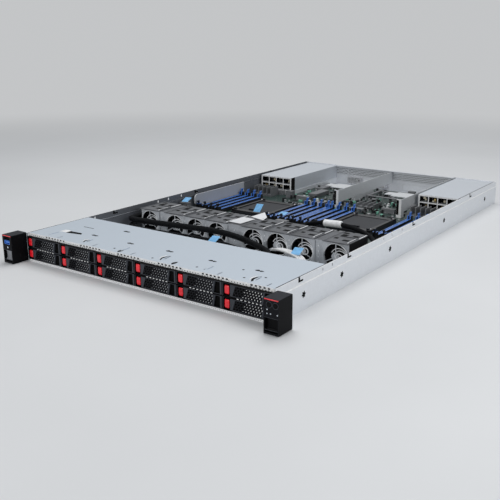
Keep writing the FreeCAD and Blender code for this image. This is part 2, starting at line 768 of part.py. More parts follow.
def network_bay():
    """Frame of the network card bay between the two risers, on four legs."""
    z0 = board_top + 6.4
    z1 = z0 + 1.2
    rim, bar = 6.0, 2.0
    x0, x1 = riser_left_x + 8.0, riser_right_x - 18.0
    y0, y1 = chassis_depth - 139.0, chassis_depth - 79.0
    middle = (x0 + x1) / 2
    outer = box(x0, x1, y0, y1, z0, z1)
    rooms = [box(a, b, y0 + rim, y1 - rim, z0 - 1, z1 + 1)
             for a, b in ((x0 + rim, middle - bar), (middle + bar, x1 - rim))]
    legs = [box(x, x + rim, y, y + rim, board_top, z0)
            for x in (x0, x1 - rim) for y in (y0, y1 - rim)]
    return join([outer.cut(rooms)] + legs)


def finned_block(x0, x1, y0, y1, top):
    """Heat sink with upright fins along Y."""
    base = box(x0, x1, y0, y1, board_top, board_top + 4)
    fins = [base]
    count = max(3, int((x1 - x0) // 8))
    pitch = (x1 - x0 - 1.6) / (count - 1)
    for k in range(count):
        fins.append(box(x0 + k * pitch, x0 + k * pitch + 1.6, y0, y1, board_top + 4, top))
    return join(fins)


def board_blocks():
    """Connectors and chips: left, right, front, rear and height of each."""
    b, c, p, r = board_front, socket_rear, psu_front, chassis_depth
    tail = psu_inner_x - 13.6
    return [(-half + 4.4, -half + 23.0, b + 46, b + 57, 22.0), (-10.0, 12.0, b + 54, b + 64, 16.0),
            (-cpu_x - 40, -cpu_x - 12, b + 16, b + 28, 8.0),
            (cpu_x + 12, cpu_x + 40, b + 16, b + 28, 8.0),
            (-132.0, -118.0, p - 28, p - 16, 14.0), (-100.0, -72.0, p - 40, p - 32, 10.0),
            (20.0, 34.0, p + 32, p + 46, 5.0), (-30.0, -12.0, r - 89, r - 71, 3.0),
            (-96.0, -78.0, p + 2, p + 52, 8.0), (60.0, 74.0, r - 59, r - 49, 8.0),
            (84.0, 110.0, p - 40, p - 32, 9.0), (-tail, -tail + 20.0, r - 119, r - 79, 5.0),
            (30.0, 56.0, c + 15, c + 25, 7.0), (-52.0, -30.0, c + 19, c + 29, 7.0)]


def supply_socket():
    """Board socket for the right supply's card edge, open towards the supply."""
    y = psu_front - 4.5
    plug = box(psu_inner_x + 12, psu_inner_x + 62, y - 9, y, board_top, board_top + 9)
    mouth = box(psu_inner_x + 16, psu_inner_x + 59, y - 7.5, y + 1,
                psu_edge_height - 0.6, psu_edge_height + 2.2)
    return plug.cut(mouth)


def board_components():
    """Heat sinks, chips, connectors and slots on the main board."""
    front, rear = psu_front - 40, psu_front - 14
    pieces = [network_bay(),
              finned_block(-psu_outer_x + 9.1, -psu_inner_x - 22.4, front, rear, 25.0),
              finned_block(psu_inner_x + 2.4, psu_inner_x + 50.4, front, rear, 25.0),
              finned_block(28.0, 62.0, psu_front - 28, psu_front + 8, 16.0),
              finned_block(-66.0, -38.0, chassis_depth - 133, chassis_depth - 105, 14.0)]
    for x0, x1, y0, y1, rise in board_blocks():
        pieces.append(box(x0, x1, y0, y1, board_top, board_top + rise))
    for side in (-1, 1):
        for k in range(5):
            x = side * cpu_x - 28 + k * 14
            pieces.append(box(x - 4.5, x + 4.5, cpu_y - 78, cpu_y - 68, board_top, board_top + 6))
    return pieces + [supply_socket(), mirror(supply_socket())]


def usb_socket(x0, x1, y0, y1, z0, z1, mouth):
    """USB socket shell with its tongue; the mouth is -1 at the front and 1 at the rear."""
    shell = box(x0, x1, y0, y1, z0, z1)
    a, b = (y0 - 1, y1 - 1.8) if mouth < 0 else (y0 + 1.8, y1 + 1)
    room = box(x0 + 0.5, x1 - 0.5, a, b, z0 + 0.5, z1 - 0.5)
    a, b = (y0 + 1, y1 - 1.8) if mouth < 0 else (y0 + 1.8, y1 - 1)
    middle = (z0 + z1) / 2
    return join([shell.cut(room), box(x0 + 1.0, x1 - 1.0, a, b, middle - 0.9, middle + 0.9)])


def video_port(x0, x1, z0, z1):
    """Connector body behind the port plate and its shell in front."""
    rear = chassis_depth
    plate = join([box(x0, x1, rear - 12, rear - sheet, board_top, z1),
                  box(x0, x1, rear - sheet, rear + 0.2, z0, z1)])
    plug = box(x0 + 7.3, x1 - 7.3, rear + 0.2, rear + 5.0, z0 + 2.2, z1 - 2.2)
    room = box(x0 + 7.9, x1 - 7.9, rear + 0.8, rear + 6.0, z0 + 2.8, z1 - 2.8)
    return join([plate, plug.cut(room)])


def network_port(x0, x1, z0, z1):
    """Floor, roof, side walls and back of the network port, and the block under it."""
    y0, back, y1 = chassis_depth - 20, chassis_depth - 17, chassis_depth + 0.4
    wall = port_wall
    low, high = z0 + wall, z1 - wall
    base = port_cutout()[2] + port_fit
    return [box(x0, x1, y0, y1, base, low), box(x0, x1, y0, y1, high, z1),
            box(x0, x0 + wall, y0, y1, low, high), box(x1 - wall, x1, y0, y1, low, high),
            box(x0 + wall, x1 - wall, y0, back, low, high),
            box(x0, x1, y0, chassis_depth - 2, board_top, base)]


def io_ports():
    """USB sockets of the left ear and the connectors of the rear panel."""
    x0, x1 = -ear_outer() + 4.3, -ear_inner() - 4.3
    front, tall = -ear_reach + 0.2, 5.5
    pieces = []
    for top in (chassis_height - 2.1, chassis_height - 8.4):
        pieces.append(usb_socket(x0, x1, front, -ear_reach + 10, top - tall, top, -1))
    rear, fit = chassis_depth, port_fit
    video, usb_a, usb_b, net = [(a + fit, b - fit, c + fit, d - fit)
                                for a, b, c, d in port_windows()]
    for a, b, c, d in (usb_a, usb_b):
        pieces.append(usb_socket(a, b, rear - 16, rear + 0.4, c, d, 1))
        pieces.append(box(a, b, rear - 16, rear - 2, board_top, c))
    return pieces + network_port(*net) + [video_port(*video)]


# ---- power supplies --------------------------------------------------------------------
def supply_grid(x0, x1, y0, z0, z1):
    """Gridded inner end: a low sill and two rows of four vents."""
    pitch = (x1 - x0 - 4.3) / 4
    plate = box(x0, x1, y0, y0 + psu_grid, z0, z1)
    vents = []
    for k in range(4):
        a = x0 + 3.0 + k * pitch
        for low, high in ((z1 - 25.5, z1 - 15.0), (z1 - 13.0, z1 - 2.5)):
            vents.append(box(a, a + pitch - 1.7, y0 - 1, y0 + psu_grid + 1, low, high))
    return plate.cut(vents)


def supply_fan_end(x0, x1, y0, y1, z0, z1):
    """Rear end on the fan's side: round recess with a hub and two bars."""
    x, z, r = x1 - 22.5, (z0 + z1) / 2, 17.5
    block = box(x0, x1, y0, y1, z0, z1).cut(drum(r, 16, x, y1 - 9, y1 + 1, z))
    hub = drum(7.0, 8, x, y1 - 6, y1 - 1, z)
    bars = [box(x - r - 0.5, x + r + 0.5, y1 - 4, y1 - 2.5, z - 0.7, z + 0.7),
            box(x - 0.7, x + 0.7, y1 - 4, y1 - 2.5, z - r - 0.5, z + r + 0.5)]
    return join([block, hub] + bars)


def supply_inlet(x0, x1, y0, y1, z0, z1):
    """Rear end on the inlet's side: recess with three contact blades."""
    block = box(x0, x1, y0, y1, z0, z1)
    recess = box(x0 + 4.5, x1 - 1.8, y0 - 1, y1 + 1, z0 + 4, z0 + 24)
    middle = (x0 + 4.5 + x1 - 1.8) / 2
    blades = [box(middle + dx - 1.0, middle + dx + 1.0, y0, y0 + 9, z0 + dz, z0 + dz + 4.6)
              for dx, dz in ((-7, 9), (0, 13.5), (7, 9))]
    return [block.cut(recess)] + blades


def supply_handle(x, y, z0, z1):
    """Square pull handle on the rear face."""
    reach, bar = 24.0, 3.0
    return join([box(x, x + bar, y, y + reach, z0, z0 + bar),
                 box(x, x + bar, y, y + reach, z1 - bar, z1),
                 box(x, x + bar, y + reach - bar, y + reach, z0, z1)])


def psu_unit(side):
    """Power supply: gridded inner end, case, inlet, fan end, pull handle and card edge."""
    x0, x1 = psu_inner_x, psu_outer_x
    z0, z1 = sheet + slack, sheet + slack + psu_height
    y0, y2 = psu_front, chassis_depth + psu_tail
    y1 = y2 - inlet_depth
    split = x0 + 32.8
    pieces = [supply_grid(x0, x1, y0, z0, z1), box(x0, x1, y0 + psu_grid, y1, z0, z1),
              supply_fan_end(split, x1, y1, y2, z0, z1)]
    pieces.extend(supply_inlet(x0, split, y1, y2, z0, z1))
    pieces.append(supply_handle(x0 + 34.0, y2, z0 + 6, z1 - 6))
    pieces.append(box(x0 + 18, x0 + 57, y0 - 9, y0, psu_edge_height, psu_edge_height + 1.6))
    return [piece if side > 0 else mirror(piece) for piece in pieces]


def psu_latch_pivot():
    """Hinge point of the release latch, right supply."""
    return psu_inner_x + 3.6, chassis_depth + psu_tail + 4.5


def psu_latch_span():
    """Lowest and highest point of the release latch."""
    low = sheet + slack + 24.5
    return low, low + 11.0


def psu_latch(side):
    """Release tab that swings on an upright pin beside the inlet."""
    px, py = psu_latch_pivot()
    z0, z1 = psu_latch_span()
    barrel = post(2.4, 8, px, py, z0, z1)
    blade = box(px - 1.0, px + 0.6, py, py + 17.0, z0, z1)
    tab = box(px - 1.0, px + 6.5, py + 15.0, py + 17.0, z0, z1)
    bore = post(1.45, 8, px, py, z0 - 1, z1 + 1)
    latch = join([barrel, blade, tab]).cut(bore)
    return [latch if side > 0 else mirror(latch)]


def psu_hinge(side):
    """Bracket and pin on the supply that carry the latch."""
    px, py = psu_latch_pivot()
    y2 = chassis_depth + psu_tail
    z0, z1 = psu_latch_span()
    lugs = [box(px - 2.0, px + 2.4, y2, py + 2.2, a, a + 1.4) for a in (z0 - 1.7, z1 + slack)]
    pin = post(1.0, 6, px, py, z0 - 1.7 + 0.7, z1 + slack + 0.7)
    bracket = join(lugs + [pin])
    return [bracket if side > 0 else mirror(bracket)]


# ---- cables ----------------------------------------------------------------------------
def cable(name, points, width, height, sides):
    """Tube along straight runs joined by tangent arcs, as large as the runs allow."""
    corners = [V(*p) for p in points]
    edges, radii = [], []
    start = corners[0]
    for before, here, after in zip(corners, corners[1:], corners[2:]):
        into, out = here - before, after - here
        reach = bend_share * min(into.Length, out.Length)
        into.normalize()
        out.normalize()
        turn = math.acos(into.dot(out))
        radius = reach / math.tan(turn / 2)
        first, last = here - into * reach, here + out * reach
        inward = (out - into).normalize()
        middle = here + inward * (radius / math.cos(turn / 2) - radius)
        edges.append(Part.LineSegment(start, first).toShape())
        edges.append(Part.Arc(first, middle, last).toShape())
        radii.append(round(radius, 1))
        start = last
    edges.append(Part.LineSegment(start, corners[-1]).toShape())
    path = Part.Wire(edges)
    along = (corners[1] - corners[0]).normalize()
    side = along.cross(V(0, 0, 1)).normalize()
    up = side.cross(along)
    step = 2 * math.pi / sides
    ring = [corners[0] + side * (width / 2 * math.cos(k * step))
            + up * (height / 2 * math.sin(k * step)) for k in range(sides)]
    tube = path.makePipeShell([Part.makePolygon(ring + ring[:1])], True, False)
    expected = sides / 2 * math.sin(step) * width / 2 * height / 2 * path.Length
    print(name, "length", round(path.Length, 1), "radii", radii,
          "volume ratio", round(tube.Volume / expected, 4))
    return tube


def cable_harness():
    """Signal bundles from the board to the backplane, and the fan lead."""
    rear = backplane_y + board_sheet + 6.05
    main = [(-209.5, 329.75, 22), (-209.0, 270, 23), (-210, 209, 26), (-191, 180, 31),
            (-137, 173, 34.5), (-70, 183, 34.5), (-4, 195, 33), (58, 188, 26),
            (104, 168, 20), (104, rear, 20)]
    second = [(-200.4, 329.75, 18), (-199.6, 268, 18.6), (-200.4, 207, 20), (-186, 172, 22),
              (-140, 156, 26), (-76, 158, 27), (-14, 174, 24), (38, 172, 20),
              (76, 158, 20), (76, rear, 20)]
    behind = [(12.05, 343, 16), (38, 343, 16), (74, 326, 34), (128, 330, 36),
              (180, 314, 30), (206, 276, 24), (206, 198, 19),
              (194, 162, 22), (194, rear, 22)]
    lead = [(80, fan_front - 2.2, 16), (80, 194, 19), (104, 177, 25),
            (147, 163, 25), (164, 148, 24), (164, rear, 24)]
    return [cable("main_bundle", main, signal_bundle_d, signal_bundle_d, bundle_sides),
            cable("second_bundle", second, second_bundle_d, second_bundle_d, bundle_sides),
            cable("rear_bundle", behind, rear_bundle_d, rear_bundle_d, bundle_sides),
            cable("fan_lead", lead, 2.6, 8.0, 4)]


def chassis_screws():
    """Board screws, captive rack screws and the riser thumb screws."""
    pieces = []
    for x, y in standoff_places():
        pieces.append(post(standoff_r, 6, x, y, board_top, board_top + 2.0))
    for side in (-1, 1):
        x = side * rack_hole_spacing / 2
        pieces.append(drum(4.8, 12, x, -15.0, -6.0, rack_hole_height))
    return pieces


def write_all():
    os.makedirs("parts", exist_ok=True)
    write("chassis_tray", chassis_tray())
    write("rear_panel", rear_panel())
    write("front_top_cover", [front_top_cover()])
    write("drive_cage", drive_cage())
    write("drive_backplane", drive_backplane())
    write("left_ear_housing", [left_ear_housing()])
    write("right_ear_housing", [right_ear_housing()])
    write("fan_cage", fan_cage())
    write("fan_frames", [s for x in fan_places() for s in (fan_frame(x), fan_guard(x))])
    write("mainboard", mainboard())
    write("cpu_sockets", cpu_sockets())
    write("dimm_sockets", [dimm_socket(x) for x in socket_places()])
    write("air_baffles", air_baffles())
    write("riser_cages", riser_cages())
    write("cable_harness", cable_harness())
    write("board_components", board_components())
    write("io_ports", io_ports())
    write("chassis_screws", chassis_screws())
    for row in range(bay_rows):
        for column in range(bay_columns):
            number = "%02d" % (row * bay_columns + column + 1)
            write("drive_carrier_" + number, drive_carrier(column, row))
            write("drive_lever_" + number, drive_lever(column, row))
    for k, x in enumerate(fan_places()):
        write("fan_rotor_%d" % (k + 1), fan_rotor(x))
    for side, name in ((-1, "left"), (1, "right")):
        write("psu_" + name, psu_unit(side) + psu_hinge(side))
        write("psu_" + name + "_latch", psu_latch(side))
    write("power_button", front_button(button_places()[0]))
    write("id_button", front_button(button_places()[1]))
    write("dimm_latches_front", [dimm_latch(x, -1) for x in socket_places()])
    write("dimm_latches_rear", [dimm_latch(x, 1) for x in socket_places()])
    write("left_ear_latch", [mirror(ear_latch())])
    write("right_ear_latch", [ear_latch()])


write_all()
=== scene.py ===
import math
import random

import bmesh
import bpy
from mathutils import Matrix, Vector


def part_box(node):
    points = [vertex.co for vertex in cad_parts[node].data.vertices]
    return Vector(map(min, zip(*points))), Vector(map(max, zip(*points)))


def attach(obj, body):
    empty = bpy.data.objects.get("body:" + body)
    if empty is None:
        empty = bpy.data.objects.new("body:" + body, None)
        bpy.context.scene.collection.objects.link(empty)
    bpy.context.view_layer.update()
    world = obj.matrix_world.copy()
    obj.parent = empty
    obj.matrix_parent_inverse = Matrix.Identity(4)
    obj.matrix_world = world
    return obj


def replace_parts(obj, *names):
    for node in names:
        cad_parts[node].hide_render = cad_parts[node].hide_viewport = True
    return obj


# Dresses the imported 1U rack server. Metres, in the frame of the CAD model: +X to the right seen
# from the front, +Y to the rear, +Z up. MM turns a size in millimetres into metres.

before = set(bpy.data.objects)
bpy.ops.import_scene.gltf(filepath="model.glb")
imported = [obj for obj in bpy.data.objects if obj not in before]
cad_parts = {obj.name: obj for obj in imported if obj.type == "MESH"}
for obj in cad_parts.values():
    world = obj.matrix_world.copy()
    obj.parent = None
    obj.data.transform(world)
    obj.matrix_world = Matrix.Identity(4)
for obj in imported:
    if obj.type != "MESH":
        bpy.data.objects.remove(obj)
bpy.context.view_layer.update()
MM = 0.001
MIX_COLOURS = 6                # first colour input of Blender's mix node
CARRIERS = ["%02d" % (k + 1) for k in range(12)]


# ---- node materials ----
def tune(node, **values):
    """Constants on a node's own inputs; an underscore stands for a space in the input's name."""
    for name, value in values.items():
        node.inputs[name.replace("_", " ")].default_value = value


class Paint:
    """A node material under construction: one shader, object coordinates and helpers."""

    def __init__(self, name, roughness=0.5, metallic=0.0, specular=0.5):
        self.material = bpy.data.materials.new(name)
        self.material.use_nodes = True
        self.tree = self.material.node_tree
        self.shader = self.tree.nodes["Principled BSDF"]
        tune(self.shader, Roughness=roughness, Metallic=metallic, Specular_IOR_Level=specular)
        self.place = self.add("ShaderNodeTexCoord").outputs["Object"]

    def add(self, kind, **values):
        node = self.tree.nodes.new(kind)
        for key, value in values.items():
            setattr(node, key, value)
        return node

    def link(self, source, target):
        self.tree.links.new(source, target)

    def feed(self, node, values, first=0):
        """Constants, colours or other nodes' outputs into a node's inputs, one after another."""
        for socket, value in zip(node.inputs[first:], values):
            if isinstance(value, bpy.types.NodeSocket):
                self.link(value, socket)
            else:
                socket.default_value = value + (1.0,) if isinstance(value, tuple) else value

    def stretched(self, x, y, z):
        """Object coordinates stretched along the axes."""
        node = self.add("ShaderNodeMapping")
        tune(node, Scale=(x, y, z))
        self.link(self.place, node.inputs["Vector"])
        return node.outputs["Vector"]

    def noise(self, scale, detail=3.0, rough=0.55, place=None):
        node = self.add("ShaderNodeTexNoise")
        tune(node, Scale=scale, Detail=detail, Roughness=rough)
        self.link(place or self.place, node.inputs["Vector"])
        return node.outputs["Fac"]

    def cells(self, scale, place=None):
        """Distance to the nearest of many scattered points."""
        node = self.add("ShaderNodeTexVoronoi")
        tune(node, Scale=scale)
        self.link(place or self.place, node.inputs["Vector"])
        return node.outputs["Distance"]

    def ramp(self, value, *stops):
        """Colours placed along a value: each stop is (position, colour)."""
        node = self.add("ShaderNodeValToRGB")
        ladder = node.color_ramp.elements
        while len(ladder) < len(stops):
            ladder.new(0.5)
        for step, (position, colour) in zip(ladder, stops):
            step.position = position
            step.color = tuple(colour) + (1.0,)
        self.link(value, node.inputs["Fac"])
        return node.outputs["Color"]

    def shades(self, value, colour, grain):
        """One colour, darker and lighter along a value."""
        return self.ramp(value, *spread(scaled(colour, 1 - grain), scaled(colour, 1 + grain)))

    def math(self, operation, *values):
        node = self.add("ShaderNodeMath", operation=operation)
        self.feed(node, values)
        return node.outputs["Value"]

    def mix(self, share, first, second):
        """One colour over another by a share."""
        node = self.add("ShaderNodeMix", data_type="RGBA")
        self.feed(node, (share,))
        self.feed(node, (first, second), MIX_COLOURS)
        return node.outputs[2]

    def axis(self, index):
        """One object coordinate: 0, 1 or 2."""
        node = self.add("ShaderNodeSeparateXYZ")
        self.link(self.place, node.inputs["Vector"])
        return node.outputs[index]

    def edge(self, radius=0.4 * MM):
        """Near 1 along bevelled and sharp outer edges, near 0 on flats."""
        bevel = self.add("ShaderNodeBevel")
        tune(bevel, Radius=radius)
        flat = self.add("ShaderNodeNewGeometry").outputs["Normal"]
        dot = self.add("ShaderNodeVectorMath", operation="DOT_PRODUCT")
        self.feed(dot, (bevel.outputs["Normal"], flat))
        away = self.math("SUBTRACT", 1.0, dot.outputs["Value"])
        return self.math("MINIMUM", self.math("MULTIPLY", away, 6.0), 1.0)

    def finish(self, colour, height=None, strength=0.2, depth=0.2 * MM, rough=None):
        """Joins colour, bump and roughness to the shader."""
        self.link(colour, self.shader.inputs["Base Color"])
        if height is not None:
            bump = self.add("ShaderNodeBump")
            tune(bump, Strength=strength, Distance=depth)
            self.link(height, bump.inputs["Height"])
            self.link(bump.outputs["Normal"], self.shader.inputs["Normal"])
        if rough is not None:
            self.link(rough, self.shader.inputs["Roughness"])
        return self.material


def spread(low, high):
    """Two greys or colours around a value, as ramp stops."""
    return (0.25, low), (0.75, high)


def scaled(colour, share, more=0.0):
    return tuple(min(1.0, c * share + more) for c in colour)


def sheet_metal(name, colour, metallic=0.35, roughness=0.42, grain=0.06):
    """Zinc-plated sheet: fine mottling, faint rolling lines, and edges painted brighter as a painted
    highlight.
    """
    p = Paint(name, roughness, metallic)
    mottle = p.noise(240.0, 5.0, 0.65)
    rolled = p.noise(60.0, 3.0, 0.5, p.stretched(30.0, 1.2, 30.0))
    both = p.math("ADD", p.math("MULTIPLY", mottle, 0.6), p.math("MULTIPLY", rolled, 0.4))
    base = p.shades(both, colour, grain)
    # painted highlight: the edges painted brighter than the flats
    edge_highlight = p.mix(p.math("MULTIPLY", p.edge(), 0.5), base, scaled(colour, 1.35))
    rough = p.math("ADD", p.math("MULTIPLY", both, 0.25), roughness - 0.12)
    return p.finish(edge_highlight, both, 0.12, 0.1 * MM, rough)


def moulded(name, colour, roughness=0.5, grain=0.25, specular=0.35, size=900.0):
    """Moulded plastic with a fine spark-eroded grain and edges painted lighter as a painted
    highlight.
    """
    p = Paint(name, roughness, 0.0, specular)
    fine = p.noise(size, 4.0, 0.7)
    broad = p.noise(35.0, 2.0)
    both = p.math("ADD", p.math("MULTIPLY", fine, 0.6), p.math("MULTIPLY", broad, 0.4))
    base = p.shades(both, colour, grain)
    # painted highlight: the edges painted lighter than the flats
    edge_highlight = p.mix(p.math("MULTIPLY", p.edge(0.3 * MM), 0.45), base, scaled(colour, 1.7, 0.02))
    return p.finish(edge_highlight, fine, 0.25, 0.08 * MM)


def glossy(name, colour, roughness=0.25):
    """Smooth coloured plastic with a soft sheen from its coat, faint flow marks and edges painted
    lighter as a painted highlight.
    """
    p = Paint(name, roughness)
    tune(p.shader, Coat_Weight=0.3, Coat_Roughness=0.2)
    flow = p.noise(180.0, 3.0)
    base = p.shades(flow, colour, 0.18)
    # painted highlight: the edges painted lighter than the flats
    lit = p.mix(p.math("MULTIPLY", p.edge(0.5 * MM), 0.4), base, scaled(colour, 1.3, 0.06))
    return p.finish(lit, flow, 0.08, 0.1 * MM)


def perforated(name, colour, pitch, share, low, high):
    """Sheet metal with rows of round holes between two heights."""
    p = Paint(name, 0.42, 0.35)
    x = p.math("DIVIDE", p.axis(0), pitch)
    z = p.math("DIVIDE", p.axis(2), pitch)
    row = p.math("FLOOR", z)
    x = p.math("ADD", x, p.math("MULTIPLY", row, 0.5))
    dx = p.math("SUBTRACT", p.math("FRACT", x), 0.5)
    dz = p.math("SUBTRACT", p.math("FRACT", z), 0.5)
    reach = p.math("SQRT", p.math("ADD", p.math("MULTIPLY", dx, dx), p.math("MULTIPLY", dz, dz)))
    hole = p.math("LESS_THAN", reach, share)
    above = p.math("GREATER_THAN", p.axis(2), low)
    below = p.math("LESS_THAN", p.axis(2), high)
    hole = p.math("MULTIPLY", hole, p.math("MULTIPLY", above, below))
    base = p.shades(p.noise(240.0, 5.0, 0.65), colour, 0.06)
    # the holes painted near-black: painted shade of the dark inside seen through them
    return p.finish(p.mix(hole, base, (0.015, 0.017, 0.02)), hole, -0.5, 0.4 * MM)


def circuit(name, dark, light):
    """Solder mask over copper: tracks, pads and a weave of small parts' outlines."""
    p = Paint(name, 0.38)
    wide = p.noise(26.0, 4.0, 0.6)
    mask = p.ramp(wide, *spread(dark, light))
    lanes = p.cells(420.0, p.stretched(1.0, 0.25, 1.0))
    track = p.math("LESS_THAN", p.math("FRACT", p.math("MULTIPLY", lanes, 3.0)), 0.18)
    board = p.mix(p.math("MULTIPLY", track, 0.45), mask, scaled(light, 1.9))
    pads = p.math("LESS_THAN", p.cells(300.0), 0.12)
    board = p.mix(p.math("MULTIPLY", pads, 0.8), board, (0.62, 0.60, 0.50))
    return p.finish(board, track, 0.2, 0.1 * MM)


def braid(name, colour):
    """Cable bundle in a dark braided sleeve."""
    p = Paint(name, 0.6, 0.0, 0.05)
    strands = p.cells(520.0)
    bands = p.noise(90.0, 2.0)
    both = p.math("ADD", p.math("MULTIPLY", strands, 0.7), p.math("MULTIPLY", bands, 0.3))
    base = p.ramp(both, (0.2, scaled(colour, 0.5)), (0.8, scaled(colour, 2.0)))
    return p.finish(base, strands, 0.6, 0.4 * MM)


STEEL = sheet_metal("case_steel", (0.75, 0.775, 0.81))
# Whiter copy of the case steel for painted light: lips, flanges and fronts brightened where they sit
# in shade, and painted highlights on edges and louvres.
LIT_STEEL = sheet_metal("lit_steel", (0.95, 0.96, 0.97), metallic=0.1, roughness=0.35, grain=0.2)
# Dark copy of the case steel for the side walls' inner faces: painted shade.
SHADED_WALL_STEEL = sheet_metal("shaded_wall_steel", (0.13, 0.14, 0.16), metallic=0.2, roughness=0.55)
COVER = sheet_metal("cover_steel", (0.50, 0.56, 0.625), metallic=0.3, roughness=0.5, grain=0.03)
CAGE = sheet_metal("cage_steel", (0.42, 0.43, 0.45))
RISER = sheet_metal("riser_steel", (0.62, 0.64, 0.66))
PERFORATED = perforated("perforated_steel", (0.68, 0.70, 0.73), pitch=3.4 * MM, share=0.32,
                        low=22.5 * MM, high=38.5 * MM)
SUPPLY = sheet_metal("supply_steel", (0.58, 0.615, 0.66))
FAN_PLATE = moulded("fan_plate", (0.085, 0.090, 0.100), grain=0.85, specular=0.45, size=420.0)
FAN_SHELL = moulded("fan_shell", (0.46, 0.48, 0.51), grain=0.35, specular=0.4, size=500.0)
FAN_BLACK = moulded("fan_black", (0.007, 0.007, 0.008), grain=0.3, specular=0.25)
FAN_RIM = moulded("fan_rim", (0.74, 0.75, 0.77), roughness=0.45, grain=0.15)
BEZEL = moulded("bezel_plastic", (0.003, 0.003, 0.004), specular=0.06)
# Lighter copy of the bezel plastic for edge bars, frame lines and rings: painted highlight on edges.
BEZEL_HIGHLIGHT = moulded("bezel_edge_highlight", (0.050, 0.054, 0.064), roughness=0.42, grain=0.2, specular=0.15)
# Near-black for openings, slots, gaps and recesses: painted shade.
SHADE_BLACK = moulded("painted_shade_black", (0.002, 0.002, 0.002), roughness=0.7, grain=0.2, specular=0.08)
GRILLE = moulded("grille_plastic", (0.013, 0.014, 0.017), roughness=0.45, specular=0.08)
RED = glossy("catch_red", (0.85, 0.010, 0.022))
STRIPE = glossy("stripe_red", (0.90, 0.05, 0.06))
EAR = moulded("ear_plastic", (0.003, 0.0032, 0.004), roughness=0.55, specular=0.08)
# Lighter copies of the ear plastic for the top faces and the front faces: painted light.
LIT_EAR_TOP = moulded("lit_ear_top", (0.016, 0.0175, 0.023), grain=0.35, specular=0.1, size=500.0)
LIT_EAR_FRONT = moulded("lit_ear_front", (0.007, 0.0075, 0.010), grain=0.4, specular=0.08, size=500.0)
EAR_LATCH = moulded("ear_latch", (0.24, 0.25, 0.27), grain=0.5, specular=0.4, size=420.0)
BUTTON = moulded("button_plastic", (0.0015, 0.0015, 0.002), grain=0.2, specular=0.1)
SOCKET_BLUE = glossy("socket_blue", (0.060, 0.20, 0.62))
LATCH_BLUE = glossy("latch_blue", (0.040, 0.15, 0.50))
CPU_COVER = moulded("processor_cover", (0.022, 0.024, 0.029), roughness=0.45, grain=0.5,
                    specular=0.2, size=500.0)
BAFFLE = moulded("baffle_grey", (0.42, 0.44, 0.47), roughness=0.45, grain=0.12)
BOARD = circuit("circuit_board", (0.004, 0.014, 0.012), (0.014, 0.040, 0.034))
BACKPLANE = circuit("backplane_board", (0.010, 0.030, 0.020), (0.030, 0.080, 0.055))
CHIP = moulded("chip_black", (0.018, 0.018, 0.020), roughness=0.35, grain=0.3)
SINK = sheet_metal("heat_sink", (0.20, 0.205, 0.215), metallic=0.5, roughness=0.45, grain=0.2)
MINT = glossy("mint_part", (0.22, 0.58, 0.43))
CREAM = glossy("cream_part", (0.72, 0.66, 0.50), roughness=0.4)
WHITE = glossy("white_part", (0.82, 0.83, 0.84), roughness=0.4)
PORT = sheet_metal("port_metal", (0.74, 0.74, 0.76), metallic=0.85, roughness=0.28)
USB_BLUE = glossy("port_blue", (0.05, 0.24, 0.80))
SCREW = sheet_metal("screw_steel", (0.70, 0.70, 0.72), metallic=0.8, roughness=0.3)
GOLD = sheet_metal("gold_part", (0.70, 0.52, 0.22), metallic=0.7, roughness=0.35)
CABLE = braid("cable_black", (0.005, 0.0055, 0.0065))
LEAD = glossy("lead_white", (0.78, 0.79, 0.80), roughness=0.45)
TAB = glossy("pull_tab_blue", (0.20, 0.50, 0.86), roughness=0.4)
LABEL = moulded("label_white", (0.80, 0.81, 0.83), roughness=0.6, grain=0.04)
LAMP = glossy("lamp_grey", (0.50, 0.55, 0.60))


